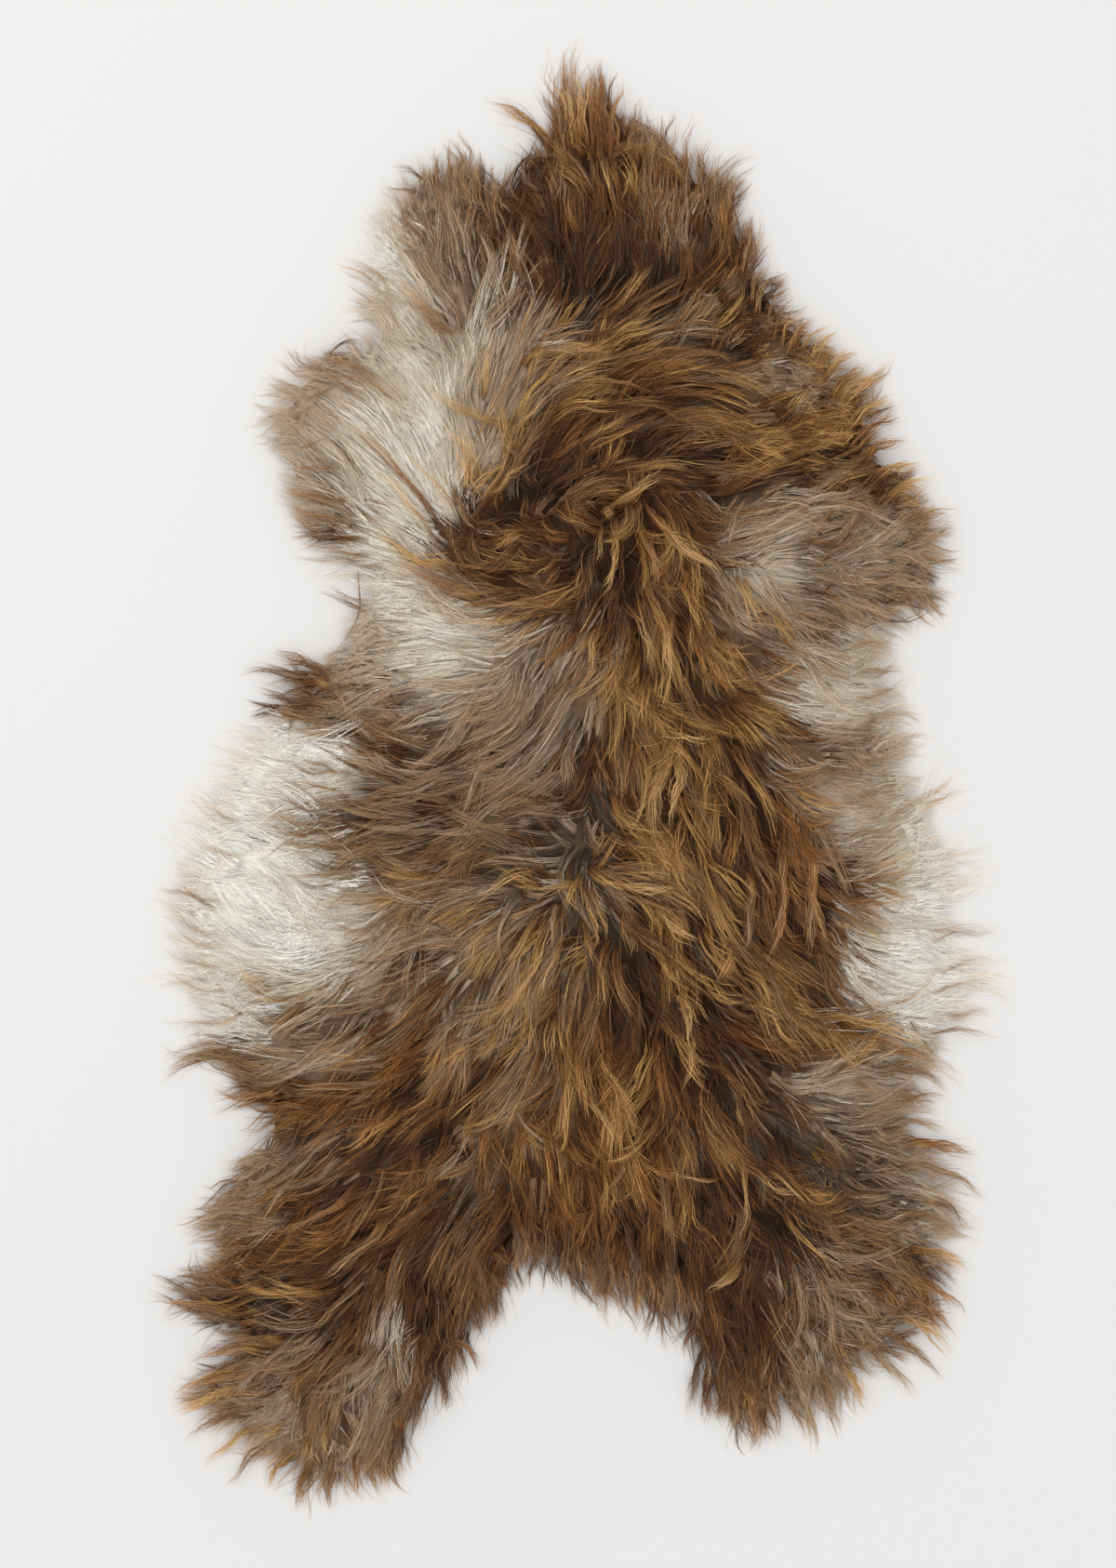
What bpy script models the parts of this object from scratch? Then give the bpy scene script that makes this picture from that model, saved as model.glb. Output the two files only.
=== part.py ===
"""A long-haired sheepskin lying flat, wool side up: one lumpy slab of pile with pointed locks at its rim.

Metres, +Z up. The origin is the middle of the pelt's bounding box, on the surface that it lies on.
The neck points to +Y and the hind legs to -Y. Headings are degrees anticlockwise from +X.
"""

import math
from collections import namedtuple

import bmesh
import bpy
import numpy as np
from mathutils import Vector, geometry

MM = 0.001

# Driving sizes
EDGE_HEIGHT = 8 * MM  # of the pile at the slab's rim
PILE_HEIGHT = 31 * MM  # of the pile away from the rim, between its tufts
RIM_SLOPE = 75 * MM  # how far in the pile reaches its full height
LOCK_WIDTH = 13 * MM  # of a lock at its root
LOCK_SPACING = 3.5 * MM  # between the roots of two locks
UNEVENNESS = 0.45  # of both, as a share
PILE_PITCH = 11.2 * MM  # between the points of the pile's surface
PILE_JITTER = 0.22  # how unevenly they lie, as a share of that pitch
TUFT_PITCH = 41 * MM
TUFT_LENGTH = 100 * MM
TUFT_WIDTH = 38 * MM
TUFT_RISE = 17 * MM
LOCK_CURL = 0.9  # the most that a lock bends, in radians
AIM_SCATTER = 0.25  # how far a lock strays from the way that the wool is combed there
LEAST_REACH = 8 * MM  # no lock is shorter
LOCK_GAP = 0.8 * MM  # kept between two locks
RIM_GAP = 0.2 * MM  # kept between a lock and the rim beyond its root
LOCK_TRIES = 12  # ever straighter and shorter, for a lock that meets another or the rim
OUTLINE_SAMPLES = 12  # along each side of a lock, for finding what it meets
SEED = 11

# A ring of a lock: how far along it stands, its half width as a share of the root's width, and its height
Ring = namedtuple("Ring", "along half_width ridge")
LOCK_RINGS = (
    Ring(along=0.28, half_width=0.44, ridge=8 * MM),
    Ring(along=0.66, half_width=0.25, ridge=4.5 * MM),
)

# A point of the pelt's rim: its place, how far the locks reach past it, and where they point
Rim = namedtuple("Rim", "x_mm y_mm reach_mm heading")

NECK = (
    Rim(-30, 475, 12, 100),
    Rim(-18, 478, 20, 130),
    Rim(-6, 497, 46, 118),
    Rim(18, 510, 40, 93),
    Rim(49, 487, 38, 88),
    Rim(91, 462, 45, 87),
    Rim(116, 441, 38, 78),
    Rim(130, 403, 28, 62),
    Rim(151, 368, 28, 55),
)
RIGHT_FORELEG = (
    Rim(182, 326, 34, 44),
    Rim(217, 284, 32, 35),
    Rim(228, 249, 24, 20),
    Rim(256, 210, 36, 12),
    Rim(268, 179, 24, -5),
    Rim(264, 147, 14, -35),
    Rim(240, 130, 12, -65),
    Rim(228, 114, 12, -30),
)
RIGHT_FLANK = (
    Rim(231, 74, 18, 10),
    Rim(242, 25, 28, 20),
    Rim(259, -18, 38, 16),
    Rim(273, -74, 36, 6),
    Rim(277, -128, 46, 2),
    Rim(275, -168, 42, 4),
    Rim(264, -198, 24, -22),
    Rim(242, -228, 24, -4),
)
RIGHT_HIND_LEG = (
    Rim(246, -259, 44, -5),
    Rim(266, -294, 42, -15),
    Rim(270, -340, 34, -14),
    Rim(264, -385, 34, -44),
    Rim(238, -417, 36, -42),
    Rim(196, -448, 30, -52),
    Rim(161, -462, 30, -66),
    Rim(126, -469, 28, -85),
    Rim(103, -457, 24, -102),
    Rim(95, -424, 12, -140),
)
RUMP = (
    Rim(86, -398, 14, -112),
    Rim(56, -378, 22, -92),
    Rim(21, -364, 22, -94),
    Rim(-21, -350, 15, -95),
    Rim(-53, -360, 12, -84),
)
LEFT_HIND_LEG = (
    Rim(-70, -389, 15, -62),
    Rim(-91, -420, 20, -60),
    Rim(-116, -459, 18, -62),
    Rim(-133, -490, 20, -72),
    Rim(-153, -511, 26, -82),
    Rim(-188, -515, 34, -98),
    Rim(-224, -501, 34, -120),
    Rim(-256, -476, 36, -142),
    Rim(-276, -452, 30, -154),
    Rim(-266, -433, 14, -170),
    Rim(-246, -417, 11, 170),
    Rim(-272, -398, 12, -160),
    Rim(-292, -382, 26, 176),
)
LEFT_FLANK = (
    Rim(-268, -362, 14, 165),
    Rim(-263, -318, 24, -168),
    Rim(-245, -280, 28, -165),
    Rim(-232, -256, 22, -168),
    Rim(-242, -224, 30, -178),
    Rim(-259, -193, 48, 176),
    Rim(-277, -161, 30, 172),
    Rim(-291, -120, 26, 162),
    Rim(-290, -74, 24, 156),
    Rim(-273, -32, 22, 160),
    Rim(-252, 11, 26, 166),
    Rim(-231, 42, 24, 170),
)
LEFT_FORELEG = (
    Rim(-219, 66, 16, 165),
    Rim(-216, 82, 20, 142),
    Rim(-190, 88, 11, 118),
    Rim(-171, 108, 11, 150),
    Rim(-161, 142, 22, 168),
    Rim(-168, 168, 12, -165),
    Rim(-189, 180, 26, 178),
    Rim(-209, 210, 26, 164),
    Rim(-223, 245, 17, 172),
    Rim(-224, 275, 18, 162),
    Rim(-214, 303, 16, 142),
    Rim(-190, 323, 15, 115),
    Rim(-164, 331, 12, 95),
)
LEFT_NECK = (
    Rim(-154, 346, 12, 165),
    Rim(-155, 378, 16, 158),
    Rim(-151, 410, 14, 140),
    Rim(-139, 436, 20, 132),
    Rim(-119, 453, 26, 128),
    Rim(-91, 461, 26, 106),
    Rim(-67, 455, 16, 100),
    Rim(-52, 451, 12, 92),
    Rim(-45, 466, 13, 118),
)
CLOCKWISE_RIM = (
    NECK
    + RIGHT_FORELEG
    + RIGHT_FLANK
    + RIGHT_HIND_LEG
    + RUMP
    + LEFT_HIND_LEG
    + LEFT_FLANK
    + LEFT_FORELEG
    + LEFT_NECK
)

# Which way the wool is combed
Groom = namedtuple("Groom", "x_mm y_mm heading")
GROOMS = (
    Groom(14, 490, 92),
    Groom(110, 430, 76),
    Groom(-95, 440, 110),
    Groom(-140, 375, 145),
    Groom(0, 335, 72),
    Groom(80, 300, 28),
    Groom(175, 290, 32),
    Groom(240, 215, 10),
    Groom(230, 150, -15),
    Groom(200, 80, -5),
    Groom(-60, 255, -128),
    Groom(-130, 270, 135),
    Groom(-205, 265, 150),
    Groom(-195, 205, 165),
    Groom(-130, 140, 178),
    Groom(40, 225, -140),
    Groom(15, 130, -95),
    Groom(60, 40, -80),
    Groom(20, -150, -92),
    Groom(150, -20, -68),
    Groom(210, 15, 15),
    Groom(245, -110, 5),
    Groom(190, -180, -15),
    Groom(-150, 40, 180),
    Groom(-245, -100, 168),
    Groom(-150, -150, -165),
    Groom(-80, -10, -165),
    Groom(-60, -130, -115),
    Groom(-140, -300, -142),
    Groom(-235, -300, -165),
    Groom(-220, -450, -140),
    Groom(-150, -480, -98),
    Groom(165, -270, -40),
    Groom(240, -310, -12),
    Groom(145, -420, -75),
    Groom(220, -390, -42),
    Groom(0, -300, -90),
)

# Places where the pile stands higher or lies flatter than the rest, fading out over their radius
Relief = namedtuple("Relief", "x_mm y_mm radius_mm lift_mm")
RELIEFS = (
    Relief(x_mm=60, y_mm=60, radius_mm=150, lift_mm=8),
    Relief(x_mm=70, y_mm=-110, radius_mm=140, lift_mm=7),
    Relief(x_mm=60, y_mm=230, radius_mm=110, lift_mm=5),
    Relief(x_mm=20, y_mm=-270, radius_mm=110, lift_mm=4),
    Relief(x_mm=-130, y_mm=230, radius_mm=130, lift_mm=-9),
    Relief(x_mm=-130, y_mm=385, radius_mm=70, lift_mm=-6),
    Relief(x_mm=200, y_mm=100, radius_mm=90, lift_mm=-6),
    Relief(x_mm=20, y_mm=385, radius_mm=70, lift_mm=-9),
    Relief(x_mm=-20, y_mm=-40, radius_mm=55, lift_mm=-10),
    Relief(x_mm=-130, y_mm=-430, radius_mm=60, lift_mm=-6),
)


def clear_scene():
    for obj in list(bpy.data.objects):
        bpy.data.objects.remove(obj)


def columns(rows, *names):
    """The named columns of a table, as an array with a row for each."""
    return np.array([[getattr(row, name) for name in names] for row in rows], float)


def unit(headings):
    """Unit vectors along headings in degrees."""
    angles = np.radians(headings)
    return np.stack([np.cos(angles), np.sin(angles)], axis=-1)


def smooth_loop(rows, dice):
    """A closed curve through the rows, as rows of the same columns: one at each end of each lock's root."""
    fine = []
    neighbours = [np.roll(rows, shift, axis=0) for shift in (1, 0, -1, -2)]
    for before, start, end, after in zip(*neighbours):
        for t in np.arange(0, 1, 0.05):
            cubic = 2 * start + (end - before) * t
            cubic += (2 * before - 5 * start + 4 * end - after) * t**2
            cubic += (3 * start - before - 3 * end + after) * t**3
            fine.append(cubic / 2)
    fine = np.array(fine + fine[:1])
    along = np.concatenate([[0], np.cumsum(np.linalg.norm(np.diff(fine[:, :2], axis=0), axis=1))])
    count = round(along[-1] / (LOCK_WIDTH + LOCK_SPACING))
    steps = np.tile([LOCK_WIDTH, LOCK_SPACING], count)
    steps *= dice.uniform(1 - UNEVENNESS, 1 + UNEVENNESS, 2 * count)
    places = np.cumsum(steps) / steps.sum() * along[-1]
    return np.stack([np.interp(places - places[0], along, column) for column in fine.T], axis=1)


def rim_loop(dice):
    """The rim, anticlockwise: points, the locks' reach there, and unit vectors along their headings."""
    rows = CLOCKWISE_RIM[::-1]
    headings = unit(columns(rows, "heading")[:, 0])
    sizes = columns(rows, "x_mm", "y_mm", "reach_mm") * MM
    loop = smooth_loop(np.hstack([sizes, headings]), dice)
    aims = loop[:, 3:] / np.linalg.norm(loop[:, 3:], axis=1, keepdims=True)
    return loop[:, :2], loop[:, 2], aims


def inside(points, loop):
    """Which points lie inside a closed loop, by counting the sides that a ray along +X crosses."""
    ends = np.roll(loop, -1, axis=0)
    px, py = points[:, None, 0], points[:, None, 1]
    spans = (loop[:, 1] > py) != (ends[:, 1] > py)
    rise = np.where(spans, ends[:, 1] - loop[:, 1], 1)
    crossing = loop[:, 0] + (py - loop[:, 1]) * (ends[:, 0] - loop[:, 0]) / rise
    return (spans & (px < crossing)).sum(axis=1) % 2 == 1


def rim_distance(points, loop):
    """How far each point is from the nearest side of a closed loop."""
    sides = np.roll(loop, -1, axis=0) - loop
    offsets = points[:, None] - loop
    share = (offsets * sides).sum(axis=2) / (sides**2).sum(axis=1)
    nearest = offsets - np.clip(share, 0, 1)[..., None] * sides
    return np.linalg.norm(nearest, axis=2).min(axis=1)


def scattered(loop, pitch, jitter, margin, dice):
    """Points in staggered rows inside a loop, at least the margin from it, each moved by chance."""
    low, high = loop.min(axis=0), loop.max(axis=0)
    rows = []
    for i, y in enumerate(np.arange(low[1], high[1], pitch * math.sqrt(0.75))):
        for x in np.arange(low[0] + (i % 2) * pitch / 2, high[0], pitch):
            rows.append((x, y))
    points = np.array(rows) + dice.uniform(-jitter, jitter, (len(rows), 2)) * pitch
    points = points[inside(points, loop)]
    return points[rim_distance(points, loop) > margin]


def combed(points):
    """The direction of the wool at each point, from the nearest groom marks."""
    marks = columns(GROOMS, "x_mm", "y_mm") * MM
    away = np.linalg.norm(points[:, None] - marks, axis=2)
    pull = 1 / (away + 5 * MM) ** 3
    blended = pull @ unit(columns(GROOMS, "heading")[:, 0])
    return blended / np.linalg.norm(blended, axis=1, keepdims=True)


def tuft_rise(points, roots, dice):
    """How far the tufts stand out of the pile: each rises from its root and drops at its pointed tip."""
    aims = combed(roots)
    across = np.stack([-aims[:, 1], aims[:, 0]], axis=1)
    best = np.zeros(len(points))
    for root, aim, side, size in zip(roots, aims, across, dice.uniform(0.75, 1.2, len(roots))):
        u = (points - root) @ aim / (TUFT_LENGTH * size) + 0.5
        u = np.clip(u, 0, 1)
        width = TUFT_WIDTH * size / 2 * np.sin(math.pi * u**0.7) + MM
        v = np.abs((points - root) @ side) / width
        body = np.sin(math.pi / 2 * np.clip(u / 0.75, 0, 1)) * np.clip((1 - u) / 0.25, 0, 1) ** 0.6
        best = np.maximum(best, TUFT_RISE * size * body * np.clip(1 - v**1.6, 0, 1))
    return best


def pile_heights(points, loop, dice):
    """The height of the wool's surface at each point."""
    inward = np.clip(rim_distance(points, loop) / RIM_SLOPE, 0, 1)
    swell = np.sin(inward * math.pi / 2) ** 1.2
    lift = np.zeros(len(points))
    for place in RELIEFS:
        offsets = points / MM - (place.x_mm, place.y_mm)
        away = np.linalg.norm(offsets, axis=1) / place.radius_mm
        lift += place.lift_mm * MM * np.clip(1 - away**2, 0, 1) ** 2
    roots = scattered(loop, TUFT_PITCH, 0.3, 0, dice)
    tufts = tuft_rise(points, roots, dice) * (0.35 + 0.65 * inward)
    return EDGE_HEIGHT + (PILE_HEIGHT - EDGE_HEIGHT + lift) * swell + tufts * np.clip(inward * 4, 0, 1)


def slab(loop, dice):
    """The pelt without its locks: an uneven top, a low wall round its rim and a flat underside."""
    inner = scattered(loop, PILE_PITCH, PILE_JITTER, 0.6 * PILE_PITCH, dice)
    count = len(loop)
    plan = [Vector(point) for point in np.vstack([loop, inner])]
    sides = [(i, (i + 1) % count) for i in range(count)]
    points, _, faces, *_ = geometry.delaunay_2d_cdt(plan, sides, [list(range(count))], 1, 1e-7)
    flat = np.array([tuple(point) for point in points])
    heights = pile_heights(flat, loop, dice)
    form = bmesh.new()
    verts = [form.verts.new((*point, height)) for point, height in zip(flat, heights)]
    for face in faces:
        form.faces.new([verts[i] for i in face])
    rim = [edge for edge in form.edges if edge.is_boundary]
    grown = bmesh.ops.extrude_edge_only(form, edges=rim)["geom"]
    for vert in (item for item in grown if isinstance(item, bmesh.types.BMVert)):
        vert.co.z = 0
    bmesh.ops.contextual_create(form, geom=[edge for edge in form.edges if edge.is_boundary])
    bmesh.ops.recalc_face_normals(form, faces=form.faces)
    return form


def turned(direction, angle):
    """A direction turned anticlockwise by an angle in radians."""
    x, y = direction
    return np.array([x * math.cos(angle) - y * math.sin(angle), x * math.sin(angle) + y * math.cos(angle)])


def lock_path(root, aim, curl, reach):
    """Points along a lock's middle, at its root, rings and tip, bending evenly by its curl."""
    stations = [0] + [ring.along for ring in LOCK_RINGS] + [1]
    path = [root]
    for start, end in zip(stations, stations[1:]):
        path.append(path[-1] + turned(aim, curl * (start + end) / 2) * reach * (end - start))
    return np.array(path)


def ring_sides(path, width):
    """For each ring of a lock, its centre and the vector from there to its left side."""
    sides = []
    for number, ring in enumerate(LOCK_RINGS, start=1):
        aim = path[number + 1] - path[number - 1]
        aim /= np.linalg.norm(aim)
        sides.append((path[number], np.array([-aim[1], aim[0]]) * ring.half_width * width))
    return sides


def outline(path, width, start, end):
    """Samples along both sides of a lock, beyond its root's ends."""
    rings = ring_sides(path, width)
    samples = []
    for corner, side in ((start, -1), (end, 1)):
        corners = np.array([corner] + [centre + side * left for centre, left in rings] + [path[-1]])
        places = np.linspace(0.3, len(corners) - 1, OUTLINE_SAMPLES)
        stations = np.arange(len(corners))
        samples.append(np.stack([np.interp(places, stations, column) for column in corners.T], axis=1))
    return np.vstack(samples)


def lock_paths(loop, reaches, aims, dice):
    """A path and width for each second side of the rim, tamed until the lock is clear of all others."""
    locks = {}
    taken = np.full((1, 2), np.inf)
    for i in range(1, len(loop), 2):
        start, end = loop[i], loop[(i + 1) % len(loop)]
        width = np.linalg.norm(end - start)
        outward = turned((end - start) / width, -math.pi / 2)
        wanted = aims[i] + 0.3 * outward + unit(dice.uniform(0, 360)) * AIM_SCATTER
        curl = dice.uniform(-LOCK_CURL, LOCK_CURL)
        reach = reaches[i] * dice.uniform(0.7, 1.15)
        for tamed in np.linspace(0, 1, LOCK_TRIES):
            aim = wanted * (1 - tamed) + outward * tamed
            aim /= np.linalg.norm(aim)
            length = max(reach * (1 - tamed / 2), LEAST_REACH)
            path = lock_path((start + end) / 2, aim, curl * (1 - tamed), length)
            samples = outline(path, width, start, end)
            apart = np.linalg.norm(samples[:, None] - taken, axis=2).min() > LOCK_GAP
            if apart and not inside(samples, loop).any() and rim_distance(samples, loop).min() > RIM_GAP:
                locks[i] = path, width
                taken = np.vstack([taken, samples])
                break
    return locks


def wall_sides(form, loop):
    """The wall's faces by the number of the rim's side that each stands on."""
    ends = np.roll(loop, -1, axis=0)
    middles = (loop + ends) / 2
    sides = {}
    for face in form.faces:
        if len(face.verts) == 4 and abs(face.normal.z) < 0.01:
            centre = np.array(face.calc_center_median().xy)
            sides[int(np.linalg.norm(middles - centre, axis=1).argmin())] = face
    return sides


def place_ring(face, centre, left, ridge):
    """Moves a lock's end face to a ring: lower points on the ground, upper ones together on the ridge."""
    for vert in face.verts:
        if vert.co.z > MM / 2:
            vert.co = (*centre, ridge)
        else:
            side = 1 if (np.array(vert.co.xy) - centre) @ left > 0 else -1
            vert.co = (*(centre + side * left), 0)


def extrude_ends(form, ends, place):
    """Extrudes the locks' end faces, places each with a function, and joins the points that meet."""
    ends = bmesh.ops.extrude_discrete_faces(form, faces=ends)["faces"]
    for face in ends:
        place(face)
    moved = list({vert for face in ends for vert in face.verts})
    bmesh.ops.remove_doubles(form, verts=moved, dist=0.01 * MM)
    return [face for face in ends if face.is_valid]


def grow_locks(form, loop, locks):
    """Extrudes a lock from each chosen side of the wall: three-sided, level underneath, ending in a point."""
    mark = form.faces.layers.int.new("lock")
    walls = wall_sides(form, loop)
    for i in locks:
        walls[i][mark] = i

    def to_ring(face, number):
        centre, left = ring_sides(*locks[face[mark]])[number]
        place_ring(face, centre, left, LOCK_RINGS[number].ridge)

    def to_tip(face):
        path, _ = locks[face[mark]]
        for vert in face.verts:
            vert.co = (*path[-1], 0)

    ends = [walls[i] for i in locks]
    for number in range(len(LOCK_RINGS)):
        ends = extrude_ends(form, ends, lambda face: to_ring(face, number))
    extrude_ends(form, ends, to_tip)


def centre(form):
    """Moves the pelt so that the middle of its bounding box is at X 0, Y 0."""
    points = np.array([vert.co.xy for vert in form.verts])
    middle = (points.min(axis=0) + points.max(axis=0)) / 2
    bmesh.ops.translate(form, verts=form.verts, vec=(-middle[0], -middle[1], 0))


def wool_material():
    material = bpy.data.materials.new("wool")
    material.use_nodes = True
    shader = material.node_tree.nodes["Principled BSDF"]
    shader.inputs["Base Color"].default_value = (0.17, 0.105, 0.062, 1)
    shader.inputs["Roughness"].default_value = 0.85
    shader.inputs["Metallic"].default_value = 0
    return material


def make_pelt():
    dice = np.random.default_rng(SEED)
    loop, reaches, aims = rim_loop(dice)
    form = slab(loop, dice)
    locks = lock_paths(loop, reaches, aims, dice)
    grow_locks(form, loop, locks)
    bmesh.ops.recalc_face_normals(form, faces=form.faces)
    centre(form)
    mesh = bpy.data.meshes.new("pelt")
    form.to_mesh(mesh)
    form.free()
    mesh.materials.append(wool_material())
    mesh.shade_smooth()
    mesh.set_sharp_from_angle(angle=math.radians(50))
    pelt = bpy.data.objects.new("pelt", mesh)
    collection = bpy.data.collections.new("sheepskin rug")
    bpy.context.scene.collection.children.link(collection)
    collection.objects.link(pelt)


clear_scene()
make_pelt()
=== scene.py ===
"""A long-haired sheepskin lying flat, wool side up: its tanned hide, its underwool and its combed locks.

Metres, +Z up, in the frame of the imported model: the neck points to +Y. The locks are ribbons, one for each
few hairs, that follow the comb marks below over the top of the model's solid. Places in the tables are
pixels of the photograph, which is seen from straight above. Headings are degrees anticlockwise from +X.
"""

import functools
import itertools
import math
from collections import namedtuple

import bmesh
import bpy
import numpy as np
from bpy.props import FloatProperty, FloatVectorProperty, PointerProperty
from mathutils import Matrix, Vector, bvhtree


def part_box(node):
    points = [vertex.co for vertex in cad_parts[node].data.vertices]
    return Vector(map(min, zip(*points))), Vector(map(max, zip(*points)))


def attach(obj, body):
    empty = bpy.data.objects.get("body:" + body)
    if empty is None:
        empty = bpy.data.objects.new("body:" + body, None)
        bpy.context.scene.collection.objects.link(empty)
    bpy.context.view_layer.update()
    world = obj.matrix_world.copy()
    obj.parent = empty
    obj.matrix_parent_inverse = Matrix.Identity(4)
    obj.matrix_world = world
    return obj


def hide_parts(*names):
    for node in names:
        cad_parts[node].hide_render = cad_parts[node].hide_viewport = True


bl_info = {
    "name": "Sheepskin rug",
    "version": (1, 0, 0),
    "blender": (4, 5, 0),
    "location": "3D View > Sidebar > Sheepskin",
    "description": "Makes the hide, underwool and combed locks of a long-haired sheepskin",
    "category": "Object",
}

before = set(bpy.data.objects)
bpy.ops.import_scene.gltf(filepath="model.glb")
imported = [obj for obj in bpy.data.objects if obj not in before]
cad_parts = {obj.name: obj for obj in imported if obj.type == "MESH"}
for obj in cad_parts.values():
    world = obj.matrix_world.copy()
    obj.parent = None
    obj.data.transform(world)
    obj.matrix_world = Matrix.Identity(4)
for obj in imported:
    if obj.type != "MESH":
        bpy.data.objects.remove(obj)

MM = 0.001
DOWN = Vector((0, 0, -1))

# The photograph, seen from straight above
PHOTO_PX = (1200, 1686)
PIXEL = 0.7 * MM
ORIGIN_PX = (628.3, 843.2)  # the pixel over the model's origin
CAMERA_HEIGHT = 3.2

# The stage: its lamps have a name, a place and a power in watts
FLOOR_REACH = 6
SKY_COLOUR = (0.98, 0.99, 1, 1)
SKY_STRENGTH = 0.78
LAMP_SIZE = 2.2
LAMPS = (("key light", (-1.5, 1.4, 2.8), 34), ("fill light", (1.8, -1.2, 2.4), 11))

# The hide, and the matted wool on it
RIM_CUT = 12 * MM  # the height at which the solid is cut to find the hide's outline
HIDE_THICKNESS = 2 * MM
UNDERWOOL_DEPTH = 1.8 * MM  # below the undercoat's ribbons
UNDERWOOL_BODY = 0.3  # how far its colour goes from the hairs' roots to their bodies
UNDERWOOL_CAST = (1, 0.95, 0.87, 1)  # of its colour, against theirs: warmer and a little darker, as painted shade in the gaps where it shows

# The maps over the model
GRID = 2.5 * MM  # between their points
GRID_MARGIN = 40 * MM  # of them, round the model
WOOL_BLUR = 5 * MM  # of the wool's height, and of where its reach ends
REACH_BLUR = 4 * MM
SLAB_BLUR = 2.5 * MM  # of where the hide ends, and of how far a point is from the rim
INNER_BLUR = 14 * MM
CLOUD_SEED = 5
CLOUDS = (7 * MM, 11 * MM, 9 * MM, 16 * MM)  # the lumps of the locks' tone, swerve, curl and waves
COMB_BLUR = 4 * MM  # within which a comb mark pulls alike, and how fast its pull falls off further out
COMB_FALL = 3
PATCH_EDGE = 1.8  # larger for patches that end more sharply

# A hair's colours on the colour map, and the streaks down it
WISP_TINT = 0.008  # the width of a wisp across the map, and of a finer hair
HAIR_TINT = 0.0012
ROOT_START = 0.05  # how far up a hair its root's colour starts to change, and its tip's colour is reached
TIP_END = 0.85
TIP_SHINE_SPAN = (0.45, 0.95)  # of a hair with painted light shining through its thin tip, where that sets in
STREAK_SCALE = 480
STREAK_SLANT = 0.004  # how much slower streaks change along a hair than across it
STREAK_SWING = 5

# Which way the wool is combed
Comb = namedtuple("Comb", "x_px y_px heading")


def table(kind, *rows):
    """Rows of one kind."""
    return tuple(kind(*row) for row in rows)


NECK_COMB = table(
    Comb,
    (640, 120, 92), (600, 150, 110), (560, 130, 155), (690, 140, 84), (740, 180, 85), (790, 250, 70),
    (740, 260, 72), (680, 230, 85), (560, 200, 105), (620, 220, 100), (480, 200, 108), (440, 190, 125),
    (430, 240, 128), (500, 260, 100), (410, 310, 142), (470, 320, 120), (600, 280, 95), (540, 330, 82),
    (670, 320, 60), (450, 390, 128),
)
RIGHT_SHOULDER_COMB = table(
    Comb,
    (580, 380, 65), (640, 380, 50), (700, 400, 27), (760, 340, 20), (830, 300, 58), (800, 380, 15),
    (850, 430, 12), (880, 350, 50), (930, 420, 36), (930, 480, 15), (870, 480, 3), (790, 460, 0),
    (950, 530, 12), (830, 560, 40), (880, 600, 5), (940, 590, 10), (1000, 565, 14), (1000, 620, -25),
    (950, 650, -20), (860, 640, -5), (790, 640, -45), (800, 580, 50), (720, 550, -40), (700, 500, 30),
    (760, 520, 10), (860, 700, -25), (920, 720, -5), (950, 760, 12),
)
LEFT_SHOULDER_COMB = table(
    Comb,
    (560, 430, 66), (525, 490, 62), (512, 535, 60), (550, 515, 52), (590, 480, 46), (600, 440, 52),
    (625, 505, 38), (665, 470, 34), (600, 530, 30), (500, 400, 75), (490, 470, 115), (440, 450, 128),
    (370, 400, 155), (330, 450, 140), (310, 500, 150), (460, 560, 130), (400, 520, 140), (340, 545, 160),
    (480, 600, 150), (420, 640, 172), (380, 600, 165), (450, 690, 178), (380, 720, 170), (320, 740, 165),
    (540, 575, 185), (560, 610, 172), (620, 560, 170), (560, 660, -140), (520, 700, 170),
)
BACK_COMB = table(
    Comb,
    (640, 620, -100), (690, 580, -60), (700, 660, -85), (740, 700, -70), (640, 700, -105),
    (600, 760, -110), (560, 740, -100), (690, 760, -80), (760, 800, -58), (640, 820, -95),
    (830, 800, -55), (700, 860, -100), (780, 900, -72), (850, 900, -84), (820, 970, -84), (590, 890, 150),
    (560, 920, 175), (670, 925, -20), (710, 960, -55), (740, 1010, -75), (640, 980, -90),
    (600, 1000, -105), (560, 1050, -115), (680, 1060, -60), (740, 1100, -80), (620, 1110, -92),
    (560, 1150, -108), (680, 1150, -80), (620, 1230, -88), (560, 1240, -100), (690, 1230, -85),
    (750, 1230, -60),
)
LEFT_FLANK_COMB = table(
    Comb,
    (520, 790, -140), (450, 780, 180), (380, 780, 170), (350, 830, 168), (420, 840, 178),
    (470, 880, -173), (330, 880, 162), (260, 860, 165), (250, 920, 165), (480, 940, -150),
    (400, 930, 172), (330, 960, 176), (240, 980, 165), (500, 990, -160), (430, 1000, -125),
    (300, 1010, 178), (380, 1060, -170), (250, 1060, 165), (460, 1070, -130), (330, 1100, 178),
    (240, 1125, 175), (420, 1150, -145), (300, 1160, -172), (500, 1120, -120), (480, 1200, -125),
    (350, 1210, -160), (290, 1210, -168),
)
LEFT_LEG_COMB = table(
    Comb,
    (400, 1290, -140), (300, 1270, -160), (230, 1300, -158), (470, 1290, -110), (230, 1370, 172),
    (300, 1360, -165), (350, 1400, -145), (280, 1430, -155), (430, 1380, -110), (430, 1440, -100),
    (480, 1460, -100), (510, 1360, -95), (250, 1490, -152), (330, 1490, -130), (250, 1550, -142),
    (340, 1570, -112), (400, 1530, -98), (420, 1600, -92),
)
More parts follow.
